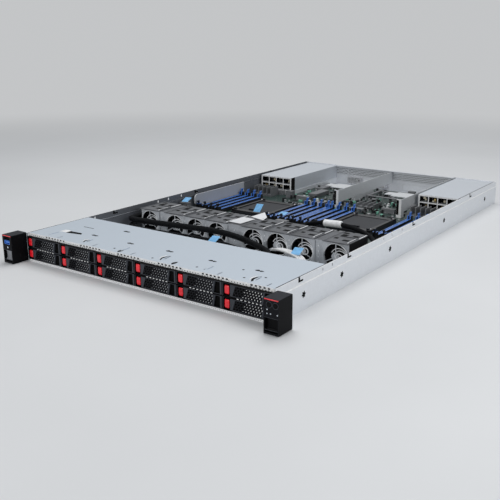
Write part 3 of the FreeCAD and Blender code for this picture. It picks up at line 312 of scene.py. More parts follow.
# ---- mesh pieces ----
class Shape:
    """One mesh piece made of several closed forms, in millimetres."""

    def __init__(self):
        self.mesh = bmesh.new()

    def vertex(self, place):
        return self.mesh.verts.new(Vector(place) * MM)

    def loft(self, rows, closed=False):
        """Walls between outlines of as many points each, and end faces where the run is open."""
        following = rows[1:] + rows[:1] if closed else rows[1:]
        for a, b in zip(rows, following):
            for i in range(len(a)):
                j = (i + 1) % len(a)
                self.mesh.faces.new((a[i], a[j], b[j], b[i]))
        if not closed:
            self.mesh.faces.new(rows[0])
            self.mesh.faces.new(rows[-1][::-1])
        return self

    def prism(self, outline, push):
        """A flat outline of (x, y, z) pushed along a vector."""
        return self.loft([[self.vertex(Vector(p) + shift) for p in outline]
                          for shift in (Vector(), Vector(push))])

    def box(self, x0, x1, y0, y1, z0, z1):
        return self.prism([(x0, y0, z0), (x1, y0, z0), (x1, y1, z0), (x0, y1, z0)],
                          (0, 0, z1 - z0))

    def drum(self, centre, along, radius, length, sides=24):
        """A round bar from a centre along a direction."""
        axis = Vector(along).normalized()
        side = axis.orthogonal().normalized()
        up = axis.cross(side)
        turns = [2 * math.pi * k / sides for k in range(sides)]
        return self.loft([[self.vertex(Vector(centre) + axis * shift
                                       + radius * (side * math.cos(a) + up * math.sin(a)))
                           for a in turns] for shift in (0.0, length)])

    def ring(self, centre, inner, outer, length, start=0.0, sweep=360.0, sides=32):
        """A ring or an arc of one about the Y axis."""
        closed = sweep >= 360.0
        steps = sides if closed else max(4, int(sides * sweep / 360.0))
        rows = []
        for k in range(steps if closed else steps + 1):
            c, s = polar(1.0, start + sweep * k / steps)
            rows.append([self.vertex((centre[0] + r * c, centre[1] + y, centre[2] + r * s))
                         for r, y in ((inner, 0), (outer, 0), (outer, length), (inner, length))])
        return self.loft(rows, closed)

    def done(self, name, material, slot, bevel=0.0, segments=2, body="chassis"):
        """The finished piece, riding on its body."""
        bmesh.ops.recalc_face_normals(self.mesh, faces=self.mesh.faces)
        data = bpy.data.meshes.new(name)
        self.mesh.to_mesh(data)
        self.mesh.free()
        data.materials.append(material)
        piece = placed(name, data)
        if bevel:
            rounding = piece.modifiers.new("edges", "BEVEL")
            rounding.width = bevel * MM
            rounding.segments = segments
            rounding.limit_method = "ANGLE"
            rounding.angle_limit = math.radians(40)
        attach(piece, body)
        return piece


def placed(name, data):
    """A new object in the scene."""
    piece = bpy.data.objects.new(name, data)
    bpy.context.collection.objects.link(piece)
    return piece


def polar(reach, degrees):
    """Offsets of a point at a distance and an angle."""
    turn = math.radians(degrees)
    return reach * math.cos(turn), reach * math.sin(turn)


def corner(node):
    """Lowest and highest corner of a CAD node in millimetres."""
    low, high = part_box(node)
    return low / MM, high / MM


def paint(material, *nodes):
    """One material for whole CAD nodes."""
    for name in nodes:
        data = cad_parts[name].data
        data.materials.clear()
        data.materials.append(material)


def repaint(node, material, chosen):
    """Another material on the faces of a CAD node that pass a test of centre and normal."""
    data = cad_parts[node].data
    data.materials.append(material)
    index = len(data.materials) - 1
    for face in data.polygons:
        if chosen(face.center / MM, face.normal):
            face.material_index = index


# ---- drive bays ----
# Places along a bezel are counted from its left edge.
CATCH_SPAN = (2.6, 9.6)        # the red catch
CATCH_HALF = 5.4               # half the height of the catch
BAR_START = 11.0               # upright bar beside the catch
FIELD_SPAN = (14.2, 56.0)      # foot of the slanted grille
LEAN = 4.7                     # how far the grille leans over its height
CELL_COLUMNS, CELL_ROWS = 10, 4
FIRST_GLINT = 3                # metal shines through the cells from this column on
RIM = 0.7                      # height of the grille's lower and upper rim
BAR_DEPTH = 1.8                # from the bezel's front
EDGE_END = 58.3                # foot of the slanted bar beside the finger recess
EDGE_LEAN = 2.6                # how far that bar leans over its height
PIVOT_U, PIVOT_Y = 65.5, 2.0   # upright barrel of the lever
RECESS_END = 68.6              # right end of the finger recess
RECESS_LINE = 0.6              # width of the grey lines round the recess


def slanted(shape, lever, feet, depths, levels=None):
    """A slanted bar between two feet and two depths, over the whole height or a part of it."""
    left, low, high = lever
    (u0, u1), (y0, y1), (z0, z1) = feet, depths, levels or (low, high)
    a, b = (left + LEAN * (z - low) / (high - low) for z in (z0, z1))
    shape.prism([(a + u0, y0, z0), (a + u1, y0, z0), (b + u1, y0, z1), (b + u0, y0, z1)],
                (0, y1 - y0, 0))


def grille_rows(lever):
    """Floor and height of each row of cells and the feet of its bars, staggered row by row."""
    low, high = lever[1:]
    wide = (FIELD_SPAN[1] - FIELD_SPAN[0]) / CELL_COLUMNS
    step = (high - low - 2 * RIM) / CELL_ROWS
    for row in range(CELL_ROWS):
        start = FIELD_SPAN[0] + 0.5 * wide * (row % 2)
        yield low + RIM + row * step, step, [start + k * wide for k in range(CELL_COLUMNS + 1)]


def lever_grille(lever, front):
    """Rows of slanted cells."""
    shape = Shape()
    for floor, step, bars in grille_rows(lever):
        slanted(shape, lever, FIELD_SPAN, (front + 0.35, front + 1.4), (floor - 0.25, floor + 0.25))
        for u in bars:
            if u < FIELD_SPAN[1]:
                slanted(shape, lever, (u - 0.5, u + 0.5), (front + 0.1, front + 1.4),
                        (floor, floor + step))
    return shape


def lever_glints(lever, front):
    """Painted glints: bright specks in the cells standing for light caught on the metal behind,
    taller towards the grille's right end.
    """
    shape = Shape()
    for floor, step, bars in grille_rows(lever):
        for k, bar in enumerate(bars[FIRST_GLINT:-1]):
            u = bar + 0.5 * (bars[1] - bars[0])
            tall = 0.10 + 0.025 * k
            if u < FIELD_SPAN[1] - 1.0:
                slanted(shape, lever, (u - 0.45, u + 0.45), (front + 0.3, front + 0.9),
                        (floor + step * (0.5 - tall), floor + step * (0.5 + tall)))
    return shape


def drive_lever(number):
    """Grille lever with its edge bars, hinge arm, barrel and tongue, for the plain CAD lever."""
    finish, body = "lever_plastic", "lever_" + number
    left, front = corner("drive_carrier_" + number)[0].xy
    lever_low, lever_high = corner("drive_lever_" + number)
    low, high = lever_low.z, lever_high.z
    lever = (left, low, high)
    grille = lever_grille(lever, front)
    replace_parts(grille.done("grille_lever_" + number, GRILLE, finish, body=body),
                "drive_lever_" + number)
    # painted glints: lit steel in the rightmost bays, where the light catches most, cage steel in the
    # others
    shine = LIT_STEEL if int(number) % 6 == 0 else CAGE
    lever_glints(lever, front).done("grille_glints_" + number, shine, finish, body=body)

    # edge bars in the lighter bezel plastic: painted highlight along the lever's edges
    edge = Shape()
    start, end = left + BAR_START, left + FIELD_SPAN[0]
    edge.prism([(start, front, low), (end, front, low), (end + LEAN, front, high),
                (start, front, high)], (0, BAR_DEPTH, 0))
    start, end, proud = left + FIELD_SPAN[1], left + EDGE_END, front - 0.3
    edge.prism([(start, proud, low), (end, proud, low), (end + EDGE_LEAN, proud, high),
                (start + EDGE_LEAN, proud, high)], (0, 2.2, 0))
    for levels in ((low, low + RIM), (high - RIM, high)):
        slanted(edge, lever, FIELD_SPAN, (front, front + BAR_DEPTH), levels)
    edge.done("lever_edge_" + number, BEZEL_HIGHLIGHT, finish, 0.15, body=body)

    # arm, barrel, tongue, a block behind the catch and a plate behind the grille in near-black:
    # painted shade inside the bezel
    hinge = Shape()
    root, pivot = left + 55.6, left + PIVOT_U
    hinge.prism([(root, front + 1.9, low), (root + 1.6, front + 1.9, low),
                 (pivot - 1.0, PIVOT_Y - 2.0, low), (pivot, PIVOT_Y + 0.4, low),
                 (root, front + 4.2, low)], (0, 0, high - low))
    hinge.drum((pivot, PIVOT_Y, low), (0, 0, 1), 2.1, high - low, 20)
    hinge.box(left + 3.4, left + 13.6, front + 1.6, front + 2.6, low + 1.2, high - 1.2)
    slanted(hinge, lever, FIELD_SPAN, (front + 1.5, front + 2.2))
    hinge.done("lever_hinge_" + number, SHADE_BLACK, finish, body=body)


def red_catch(number):
    """Crowned red catch with a finger groove across its middle."""
    left, front = corner("drive_carrier_" + number)[0].xy
    low, high = corner("drive_lever_" + number)
    middle, half = left + sum(CATCH_SPAN) / 2, (CATCH_SPAN[1] - CATCH_SPAN[0]) / 2
    back = front + BAR_DEPTH
    shape = Shape()
    rows = []
    for k in range(11):
        up = k / 5.0 - 1.0                  # from -1 at the foot to 1 at the top
        z = (low.z + high.z) / 2 + CATCH_HALF * up
        reach = half * (1.0 - 0.22 * abs(up) ** 6)
        arch = 1.1 * (1 - 0.75 * abs(up) ** 4)
        groove = 0.35 * math.exp(-(up / 0.16) ** 2)
        outline = [(middle - reach, back, z)]
        for j in range(9):
            a = math.pi * j / 8
            crown = arch * math.sin(a) ** 0.7 - groove * math.sin(a)
            outline.append((middle - reach * math.cos(a), front + 0.75 - crown, z))
        outline.append((middle + reach, back, z))
        rows.append([shape.vertex(p) for p in outline])
    shape.loft(rows)
    for face in shape.mesh.faces:
        face.smooth = True
    shape.done("red_catch_" + number, RED, "lever_plastic", body="lever_" + number)


def bezel_frame(number):
    """Grey frame lines round the finger recess and at the left of the catch recess, in the lighter
    bezel plastic: painted highlight on the bezel's edges.
    """
    low, high = corner("drive_carrier_" + number)
    front, foot, head = low.y - 0.25, low.z + 0.3, high.z - 0.3
    shape = Shape()
    for a, b, c, d, z0, z1 in ((RECESS_END - 0.2, 70.9, 70.9, RECESS_END - 0.2, foot, head),
                               (57.0, RECESS_END, RECESS_END, 57.2, foot, foot + RECESS_LINE),
                               (60.0, RECESS_END, RECESS_END, 60.2, head - RECESS_LINE, head),
                               (0.1, 0.8, 0.8, 0.1, foot, head)):
        shape.prism([(low.x + a, front, z0), (low.x + b, front, z0),
                     (low.x + c, front, z1), (low.x + d, front, z1)], (0, 1.2, 0))
    shape.done("bezel_frame_" + number, BEZEL_HIGHLIGHT, "carrier_plastic", 0.15,
               body="carrier_" + number)


def drive_bays():
    for number in CARRIERS:
        node = "drive_carrier_" + number
        front = corner(node)[0].y
        paint(BEZEL, node)
        repaint(node, CAGE, lambda c, n: c.y > front + 12.2)
        # inside of the bezel's pockets in near-black: painted shade
        repaint(node, SHADE_BLACK, lambda c, n: front + 0.5 < c.y < front + 11.5)
        drive_lever(number)
        red_catch(number)
        bezel_frame(number)


def hole_row(shape, start, count, pitch, width, depths, levels):
    """A row of small blocks along X."""
    for k in range(count):
        x = start + k * pitch
        shape.box(x, x + width, *depths, *levels)


def light_holes():
    """Holes along the shelf edge drawn bright (painted light seen through them), holes along the
    cover lip and the floor lip drawn dark (painted shade), and the floor lip in lit steel (painted
    light).
    """
    shelf, lid, trim, lip = Shape(), Shape(), Shape(), Shape()
    for number in CARRIERS[:6]:
        low, high = corner("drive_carrier_" + number)
        hole_row(shelf, low.x + 20.7, 7, 5.5, 2.6, (low.y + 0.2, low.y + 1.8),
                 (high.z + 0.05, high.z + 1.15))
    for number in CARRIERS[6:]:
        left = corner("drive_carrier_" + number)[0].x
        hole_row(lid, left + 6.0, 7, 4.2, 1.2, (-0.12, 0.3), (39.6, 40.7))
        hole_row(lid, left + 37.6, 8, 4.2, 1.5, (-0.12, 0.3), (38.9, 39.8))
    half, lip_front, trim_holes = 214, -3.4, 142
    trim.prism([(-half, y, z) for y, z in ((0.0, 0.4), (lip_front, 0.4), (lip_front, 3.9),
                                           (-2.8, 3.9), (-2.8, 1.0), (0.0, 1.0))],
               (2 * half, 0, 0))
    for k in range(trim_holes):
        lip.drum((2.5 - half + 3.0 * k, lip_front - 0.1, 1.5 + 1.1 * (k % 2)), (0, 1, 0), 0.5, 0.4, 8)
    # bright blocks for the shelf holes: painted light seen through them
    shelf.done("shelf_light_holes", LIT_STEEL, "case_steel", 0.1)
    lid.done("lid_pin_holes", SHADE_BLACK, "cover_steel", 0.1)
    trim.done("floor_trim", LIT_STEEL, "case_steel")
    lip.done("floor_trim_holes", CAGE, "case_steel")


# ---- front cover ----
def sickle(shape, x, y, length, width, z, rise, turn=90.0, hollow=-0.4):
    """A crescent lying on the cover: its chord runs along a direction, its belly to the left."""
    along = Vector((*polar(1.0, turn), 0))
    side = Vector((-along.y, along.x, 0))
    steps = 10
    outer, inner = [], []
    for k in range(steps + 1):
        share = k / steps
        belly = math.sin(math.pi * share)
        start = Vector((x, y, z)) + along * length * (share - 0.5)
        outer.append(start + side * width * belly)
        inner.append(start + side * width * hollow * belly)
    shape.prism(outer + inner[-2:0:-1], (0, 0, rise))


def cover_details():
    """Pressed louvres, dimples, small holes and the larger slot with its tab: openings drawn
    near-black (painted shade), louvre lips and the tab drawn in lit steel (painted highlights).
    """
    top = corner("chassis_tray")[1].z
    skin = top - 0.1
    dark, light = Shape(), Shape()
    for x, y0, y1 in ((-109.5, 9, 25), (34.9, 8, 29), (179.3, 6, 28)):      # large louvres
        sickle(dark, x, (y0 + y1) / 2, y1 - y0, 5.2, skin, 0.22, hollow=-0.45)
        # painted highlight on each louvre's lip
        sickle(light, x - 5.0, (y0 + y1) / 2 + 1.0, (y1 - y0) * 0.8, 2.4, skin, 0.5, hollow=0.2)
    for x, y0, y1 in ((-35.5, 2, 14), (59.5, 2, 15)):                       # small louvres
        sickle(dark, x, (y0 + y1) / 2, y1 - y0, 3.6, skin, 0.22, hollow=-0.5)
    for x, y in ((-100.8, 84.4), (-51, 42), (19, 44), (92.5, 43), (164.5, 44), (-123.6, 43)):
        sickle(dark, x - 2.6, y - 0.4, 7.6, 3.6, skin, 0.2, 0.0)            # wavy bridges
        sickle(dark, x + 3.0, y + 0.9, 7.0, 3.0, skin, 0.2, 180.0)
    for x, y in ((146, 36.6), (164.6, 12.6), (185.5, 27.3), (92.5, 12.5), (21, 9), (-52, 12.6)):
        dark.drum((x, y, skin), (0, 0, 1), 1.5, 0.2, 16)
    slot = ((-181, 39), (-171, 30), (-143, 35), (-148, 41))
    dark.prism([(x, y, skin) for x, y in slot], (0, 0, 0.18))
    dark.box(-175, -154, 68.2, 69.6, skin, skin + 0.18)
    for side in (-1, 1):                                                    # side seams
        seam = ((215.2, 3.0), (216.2, 3.0), (216.2, 113.8), (215.6, 113.8))
        dark.prism([(side * x, y, skin) for x, y in seam], (0, 0, 0.16))
    # openings, bridges, holes, slot and seams in near-black: painted shade
    dark.done("cover_openings", SHADE_BLACK, "cover_steel")
    light.prism([(-184, 30, top), (-177, 30, top + 0.75), (-170.5, 30, top + 0.15)], (0, 11, 0))
    light.done("cover_highlights", LIT_STEEL, "cover_steel", 0.15)


# ---- rack ears ----
def ear_front(side, name):
    """One ear: red stripe, frame lines in the lighter bezel plastic (painted highlight), front and
    top faces painted lighter than the sides (painted light) and the lower recess in near-black
    (painted shade).
    """
    node = name + "_ear_housing"
    low, high = corner(node)
    front = low.y
    stripe, lines = Shape(), Shape()
    stripe.box(low.x + 0.8, high.x - 0.8, front - 0.08, front + 0.4, 41.1, 42.4)
    stripe.done(name + "_ear_stripe", STRIPE, "ear_plastic", 0.1)
    lines.box(low.x + 1.5, high.x - 1.5, front - 0.1, front + 0.5, 5.6, 6.1)
    lines.box(low.x + 1.0, high.x - 1.0, front - 0.1, front + 0.5, 20.2, 20.6)
    lines.done(name + "_ear_lines", BEZEL_HIGHLIGHT, "ear_plastic", 0.1)
    # front and top faces painted lighter, lower recess near-black: painted light and painted shade
    repaint(node, LIT_EAR_FRONT, lambda c, n: n.y < -0.9 and c.y < front + 0.5)
    repaint(node, LIT_EAR_TOP, lambda c, n: n.z > 0.5 and c.z > 40.0)
    repaint(node, SHADE_BLACK, lambda c, n: c.y > front + 0.5 and c.z < 21 and abs(n.x) < 0.9
            and side * c.x < 239)


def ears():
    """Fronts of both ears, lamps and the rings round the buttons."""
    ear_front(-1, "left")
    ear_front(1, "right")
    front = corner("right_ear_housing")[0].y
    lamps, rings, spot = Shape(), Shape(), Shape()
    for x, z in ((225.4, 29.8), (225.4, 25.0), (230.1, 25.3), (239.0, 25.2)):
        lamps.drum((x, front - 0.12, z), (0, 1, 0), 0.8, 0.6, 14)
    lamps.done("ear_lamps", LAMP, "ear_plastic", 0.05)
    for node in ("power_button", "id_button"):
        low, high = corner(node)
        rings.ring(((low.x + high.x) / 2, front - 0.2, (low.z + high.z) / 2), 3.4, 3.9, 0.6)
    # rings round the buttons in the lighter bezel plastic: painted highlight
    rings.done("button_rings", BEZEL_HIGHLIGHT, "ear_plastic")
    low, high = corner("left_ear_housing")
    spot.drum(((low.x + high.x) / 2 + 1, front - 0.12, 24.7), (0, 1, 0), 1.4, 0.5, 16)
    spot.done("left_ear_lamp", LAMP, "ear_plastic", 0.05)


# ---- fans ----
FANS = 8
INLET_R = 19.6                 # round inlet of a fan
INLET_RIM = (18.4, 19.3)       # inner and outer radius of the inlet's rim
GUARD_RING = (12.4, 13.4)      # of the guard's ring
GUARD_HUB = (4.2, 5.5)         # of the ring at the spiral's middle
HUB_SHIFT = 5.5                # the guard's rings sit to the right of the inlet's middle
SPIRAL_STEPS = 12              # pieces of the guard's spiral, 17 degrees each


def fan_places():
    """Middle of each fan, left to right, from the rotors."""
    places = []
    for k in range(FANS):
        low, high = corner("fan_rotor_%d" % (k + 1))
        places.append(((low.x + high.x) / 2, (low.z + high.z) / 2))
    return places


def fan_guards(front):
    """Rim of each inlet and the ring of its guard, drawn light only along their lit side (painted
    highlight), and the hub and spiral of the guard.
    """
    rims, spirals = Shape(), Shape()
    for x, z in fan_places():
        hub = x + HUB_SHIFT
        rims.ring((x, front - 0.6, z), *INLET_RIM, 2.4, -60, 225, 48)
        rims.ring((hub, front - 0.7, z), *GUARD_RING, 1.2, -95, 250, 40)
        spirals.ring((hub, front - 0.9, z), *GUARD_HUB, 1.6)
        for k in range(SPIRAL_STEPS):
            a, b = (200 - 17 * (k + j) for j in (0, 1))
            r0, r1 = (5.0 + 7.4 * (k + j) / SPIRAL_STEPS for j in (0, 1))
            quad = [polar(r, turn) for r, turn in ((r0, a), (r1, b), (r1 + 1.1, b), (r0 + 1.1, a))]
            spirals.prism([(hub + dx, front - 0.9, z + dz) for dx, dz in quad], (0, 1.2, 0))
    rims.done("fan_rim_highlights", FAN_RIM, "fan_frame", 0.2)
    spirals.done("fan_spirals", FAN_RIM, "fan_frame", 0.15)


def fan_shells(front):
    """Light shells between the inlets, with dimples down their middle."""
    shells, dents = Shape(), Shape()
    places = fan_places()
    for (xa, z), (xb, _) in zip(places, places[1:]):
        for x, side in ((xa, 1), (xb, -1)):
            arc = [polar(INLET_R, 90 - 22.5 * k) for k in range(9)]
            outline = [(21.4, INLET_R)] + arc + [(21.4, -INLET_R)]
            shells.prism([(x + side * dx, front - 0.5, z + dz) for dx, dz in outline], (0, 0.45, 0))
        for k in range(4):
            dents.drum(((xa + xb) / 2, front - 0.75, z + 12 - 8 * k), (0, 1, 0), 0.9, 0.5, 12)
    shells.done("fan_shells", FAN_SHELL, "fan_frame")
    dents.done("fan_shell_dents", FAN_RIM, "fan_frame", 0.1)


def fan_tops():
    """Rails drawn bright (painted highlights), slots drawn near-black (painted shade) and pressed
    ribs on the plates over the fans.
    """
    low, high = corner("fan_cage")
    front, top = low.y, high.z - 0.75
    rails, slots, ribs = Shape(), Shape(), Shape()
    for x, _ in fan_places():
        for dx, y0, y1 in ((15.0, 6, 30), (18.2, 34, 57)):
            rails.prism([(x + dx + u, front + y0, top + rise)
                         for u, rise in ((0, 0), (1.6, 0), (1.3, 0.9), (0.3, 0.9))],
                        (0, y1 - y0, 0))
        for x0, x1, y0, y1 in ((-12, -3, 38, 47), (2, 12, 14, 21), (5, 14, 40, 47),
                               (-16, -7, 51, 57), (-14, -8, 20, 26)):
            slots.box(x + x0, x + x1, front + y0, front + y1, top - 0.1, top + 0.12)
        ribs.box(x - 19.0, x + 13.0, front + 1.0, front + 2.2, top, top + 0.5)
        ribs.box(x - 19.2, x - 18.2, front + 1.0, front + 57, top, top + 0.5)
    rails.done("fan_plate_rail_highlights", FAN_RIM, "fan_plate", 0.15)
    slots.done("fan_plate_slots", SHADE_BLACK, "fan_plate")
    ribs.done("fan_plate_ribs", FAN_PLATE, "fan_plate", 0.2)
    patch, flag = Shape(), Shape()
    corners = ((-20, 222), (5, 221), (7, 257), (-17, 258))
    patch.prism([(x, y, top) for x, y in corners], (0, 0, 0.45))
    patch.done("fan_label", FAN_RIM, "fan_plate", 0.1)
    corners = ((-7.8, 266.6), (21.5, 258.0), (14.9, 278.4), (-8.5, 306.0))
    flag.prism([(x, y, top + 0.2 - 0.02 * (y - 258.0)) for x, y in corners], (0, 0, 0.4))
    flag.done("bundle_flag", LABEL, "cable_jacket", 0.1)


def fans():
    paint(FAN_PLATE, "fan_cage")
    paint(FAN_BLACK, "fan_frames", *["fan_rotor_%d" % (k + 1) for k in range(FANS)])
    for node in ("fan_frames", "fan_cage"):
        front = corner(node)[0].y
        repaint(node, FAN_SHELL, lambda c, n: n.y < -0.9 and c.z < 41 and c.y < front + 4.5)
    front = corner("fan_frames")[0].y
    fan_guards(front)
    fan_shells(front)
    fan_tops()


# ---- cables ----
REAR_OF_BACKPLANE = corner("drive_backplane")[1].y + 0.05
MAIN_ROUTE = [(-209.5, 329.75, 22), (-209.0, 270, 23), (-210, 209, 26), (-191, 180, 31),
              (-137, 173, 34.5), (-70, 183, 34.5), (-4, 195, 33), (58, 188, 26),
              (104, 168, 20), (104, REAR_OF_BACKPLANE, 20)]
SECOND_ROUTE = [(-200.4, 329.75, 18), (-199.6, 268, 18.6), (-200.4, 207, 20), (-186, 172, 22),
                (-140, 156, 26), (-76, 158, 27), (-14, 174, 24), (38, 172, 20),
                (76, 158, 20), (76, REAR_OF_BACKPLANE, 20)]
REAR_ROUTE = [(12.05, 343, 16), (38, 343, 16), (74, 326, 34), (128, 330, 36),
              (180, 314, 30), (206, 276, 24), (206, 198, 19),
              (194, 162, 22), (194, REAR_OF_BACKPLANE, 22)]
LEAD_ROUTE = [(80, 211.8, 16), (80, 194, 19), (104, 177, 25),
              (147, 163, 25), (164, 148, 24), (164, REAR_OF_BACKPLANE, 24)]
LEAD_STRANDS = 4
LEAD_RISE = 5.5                # how far the flat lead bows up between its ends


def line(name, route, diameter, material):
    """A smooth round cable with the route's points as control points."""
    data = bpy.data.curves.new(name, "CURVE")
    data.dimensions = "3D"
    data.bevel_depth = diameter / 2 * MM
    data.bevel_resolution = 5
    data.use_fill_caps = True
    data.resolution_u = 16
    spline = data.splines.new("NURBS")
    spline.points.add(len(route) - 1)
    for point, place in zip(spline.points, route):
        point.co = tuple(v * MM for v in place) + (1.0,)
    spline.order_u = 3
    spline.use_endpoint_u = True
    data.materials.append(material)
    piece = placed(name, data)
    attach(piece, "chassis")
    return piece


def beside(route, shift):
    """The same route moved sideways in plan."""
    moved = []
    for k, here in enumerate(route):
        along = Vector(route[min(len(route) - 1, k + 1)]) - Vector(route[max(0, k - 1)])
        side = Vector((-along.y, along.x, 0)).normalized()
        moved.append(tuple(Vector(here) + side * shift))
    return moved


def cables():
    """Three bundles, the flat lead, a white sleeve and the pull tabs."""
    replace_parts(line("main_bundle", MAIN_ROUTE, 9.0, CABLE), "cable_harness")
    line("second_bundle", SECOND_ROUTE, 6.5, CABLE)
    line("rear_bundle", REAR_ROUTE, 7.0, CABLE)
    raised = [(x, y, z + LEAD_RISE * (150 < y < 190)) for x, y, z in LEAD_ROUTE]
    for k in range(LEAD_STRANDS):
        shift = (k - (LEAD_STRANDS - 1) / 2) * 3.0
        line("fan_lead_%d" % (k + 1), beside(raised, shift), 2.9, LEAD)
    sleeve, tabs = Shape(), Shape()
    sleeve.drum((91, 327.7, 34.4), (31, 0.6, 1.1), 5.6, 31.0, 28)
    sleeve.done("bundle_sleeve", WHITE, "cable_jacket", 1.2, 4)
    for x, y, z, rise in ((142, 165, 32, 7), (11, 148, 33, 6), (-76, 383, 20, 12),
                          (-30, 393, 19, 3), (-199, 332, 32, 6)):
        tabs.prism([(x - 8, y - 4, z - 1), (x + 7, y - 5, z), (x + 8, y + 5, z + rise),
                    (x - 7, y + 6, z + rise - 1)], (0, 0.5, 0.4))
    tabs.done("pull_tabs", TAB, "cable_jacket", 0.15)


# ---- boards ----
CPU_X = 100                    # middle of each processor socket from the middle of the board
CPU_SPAN = (390, 490)          # front and rear end of the processor frames
CPU_HALF, CPU_BAR = 40, 6      # half the width of a frame, and the width of its side bars
CORE_STARTS = (4.0, 158.0)     # first memory socket of the inner and the outer banks
CORE_PITCH = 15.2


def scatter(name, seed, area, count, sizes, heights, material, avoid):
    """Small square parts strewn over an area of the board, clear of the boxes to avoid."""
    pick = random.Random(seed)
    base = corner("mainboard")[1].z
    shape = Shape()
    x0, x1, y0, y1 = area
    for _ in range(count):
        wide, deep = pick.uniform(*sizes), pick.uniform(*sizes)
        x, y = pick.uniform(x0, x1 - wide), pick.uniform(y0, y1 - deep)
        if any(x < b[1] and x + wide > b[0] and y < b[3] and y + deep > b[2] for b in avoid):
            continue
        shape.box(x, x + wide, y, y + deep, base, base + pick.uniform(*heights))
    shape.done(name, material, "components", 0.15, 1)


def board_parts():
    """Chips, capacitors and small connectors over the main board."""
    low, high = corner("dimm_sockets")
    banks = [(x0, x1, low.y - 4, high.y + 4) for x0, x1 in ((-62, 62), (150, 215), (-215, -150))]
    avoid = banks + [(x - 44, x + 44, CPU_SPAN[0] - 6, CPU_SPAN[1] + 6) for x in (-CPU_X, CPU_X)]
    rear, front, middle = (-130, 130, 515, 735), (-150, 150, 290, 366), (-150, 150, 366, 516)
    for part in (("board_chips", 3, rear, 150, (2.5, 9.0), (0.8, 2.0), CHIP),
                 ("board_caps", 5, rear, 110, (2.0, 5.0), (3.0, 8.0), CHIP),
                 ("board_mint", 7, (-130, 130, 515, 640), 34, (2.5, 8.0), (2.0, 5.0), MINT),
                 ("board_silver", 11, rear, 90, (1.5, 3.5), (1.0, 6.0), SCREW),
                 ("board_white", 13, (-134, 130, 520, 600), 14, (2.5, 5.0), (4.0, 9.0), WHITE),
                 ("board_front_chips", 17, front, 90, (2.0, 8.0), (1.0, 6.0), CHIP),
                 ("board_front_silver", 19, front, 60, (1.2, 3.0), (1.0, 4.0), SCREW),
                 ("board_middle_silver", 23, middle, 120, (1.2, 2.6), (1.0, 3.5), SCREW)):
        scatter(*part, avoid)


def baffle_rim_highlights():
    """Rolled edge along the front, the rounded corner and the top of each baffle, drawn in lit steel:
    painted highlight.
    """
    low, high = corner("air_baffles")
    bend, thick, foot, end = 9.0, 1.0, 21.0, high.y - 1.0
    outer, inner = [(low.y, foot)], [(low.y + thick, foot)]
    for k in range(7):
        c, s = polar(1.0, 15 * k)
        y, z = low.y + bend * (1 - c), high.z - bend * (1 - s)
        outer.append((y, z))
        inner.append((y + thick * c, z - thick * s))
    outer.append((end, high.z))
    inner.append((end, high.z - thick))
    shape = Shape()
    for x in (-210.5, 209.1):
        shape.prism([(x, y, z) for y, z in outer + inner[::-1]], (1.4, 0, 0))
    shape.done("baffle_rim_highlights", LIT_STEEL, "baffle_plastic", 0.1)


def processor_tops():
    """Black frame bars and bright screws round each processor cover."""
    foot, top = 11.6, 15.2
    front, rear = CPU_SPAN
    bars, screws = Shape(), Shape()
    for x in (-CPU_X, CPU_X):
        left, right = x - CPU_HALF, x + CPU_HALF
        bars.box(left, left + CPU_BAR, front, rear, foot, top)
        bars.box(right - CPU_BAR, right, front, rear, foot, top)
        bars.box(left, right, front, front + 2 * CPU_BAR, foot, top - 1.0)
        bars.box(left, right, rear - 2 * CPU_BAR, rear, foot, top - 1.0)
        for u in (left + CPU_BAR / 2, right - CPU_BAR / 2):
            for y in (front + CPU_BAR, rear - CPU_BAR):
                screws.drum((u, y, top), (0, 0, 1), 2.2, 1.2, 16)
    bars.done("processor_frames", CHIP, "processor_cover", 0.5)
    screws.done("processor_screws", SCREW, "screw_steel", 0.2)


def socket_contacts():
    """Two blue walls in the mouth of each memory socket."""
    low, high = corner("dimm_sockets")
    shape = Shape()
    for first in CORE_STARTS:
        for k in range(4):
            for x in (first + CORE_PITCH * k, -first - CORE_PITCH * k):
                for x0, x1 in ((x - 1.6, x - 0.3), (x + 0.3, x + 1.6)):
                    shape.box(x0, x1, low.y + 9, high.y - 9, low.z + 1.2, low.z + 7.7)
    shape.done("socket_contacts", SOCKET_BLUE, "memory_socket", 0.1, 1)


def boards():
    paint(BOARD, "mainboard")
    paint(BACKPLANE, "drive_backplane")
    paint(SOCKET_BLUE, "dimm_sockets")
    # side faces and front-end faces of the sockets painted black, only the tops blue: painted shade
    # between the sockets
    repaint("dimm_sockets", CHIP, lambda c, n: n.z < 0.5 and (abs(n.y) < 0.5 or c.y < 500))
    socket_contacts()
    # front latches painted black: painted shade
    paint(CHIP, "dimm_latches_front")
    paint(LATCH_BLUE, "dimm_latches_rear")
    paint(CPU_COVER, "cpu_sockets")
    paint(BAFFLE, "air_baffles")
    paint(SINK, "board_components")
    board_parts()
    baffle_rim_highlights()
    processor_tops()


# ---- rear ----
SUPPLY_FRONT = 588.0           # inner end of the power supplies
GRID_PITCH, GRID_RISE = 17.3, 12.4     # from one window of its grid to the next
VENT_Y = 776.85                # just before the rear wall


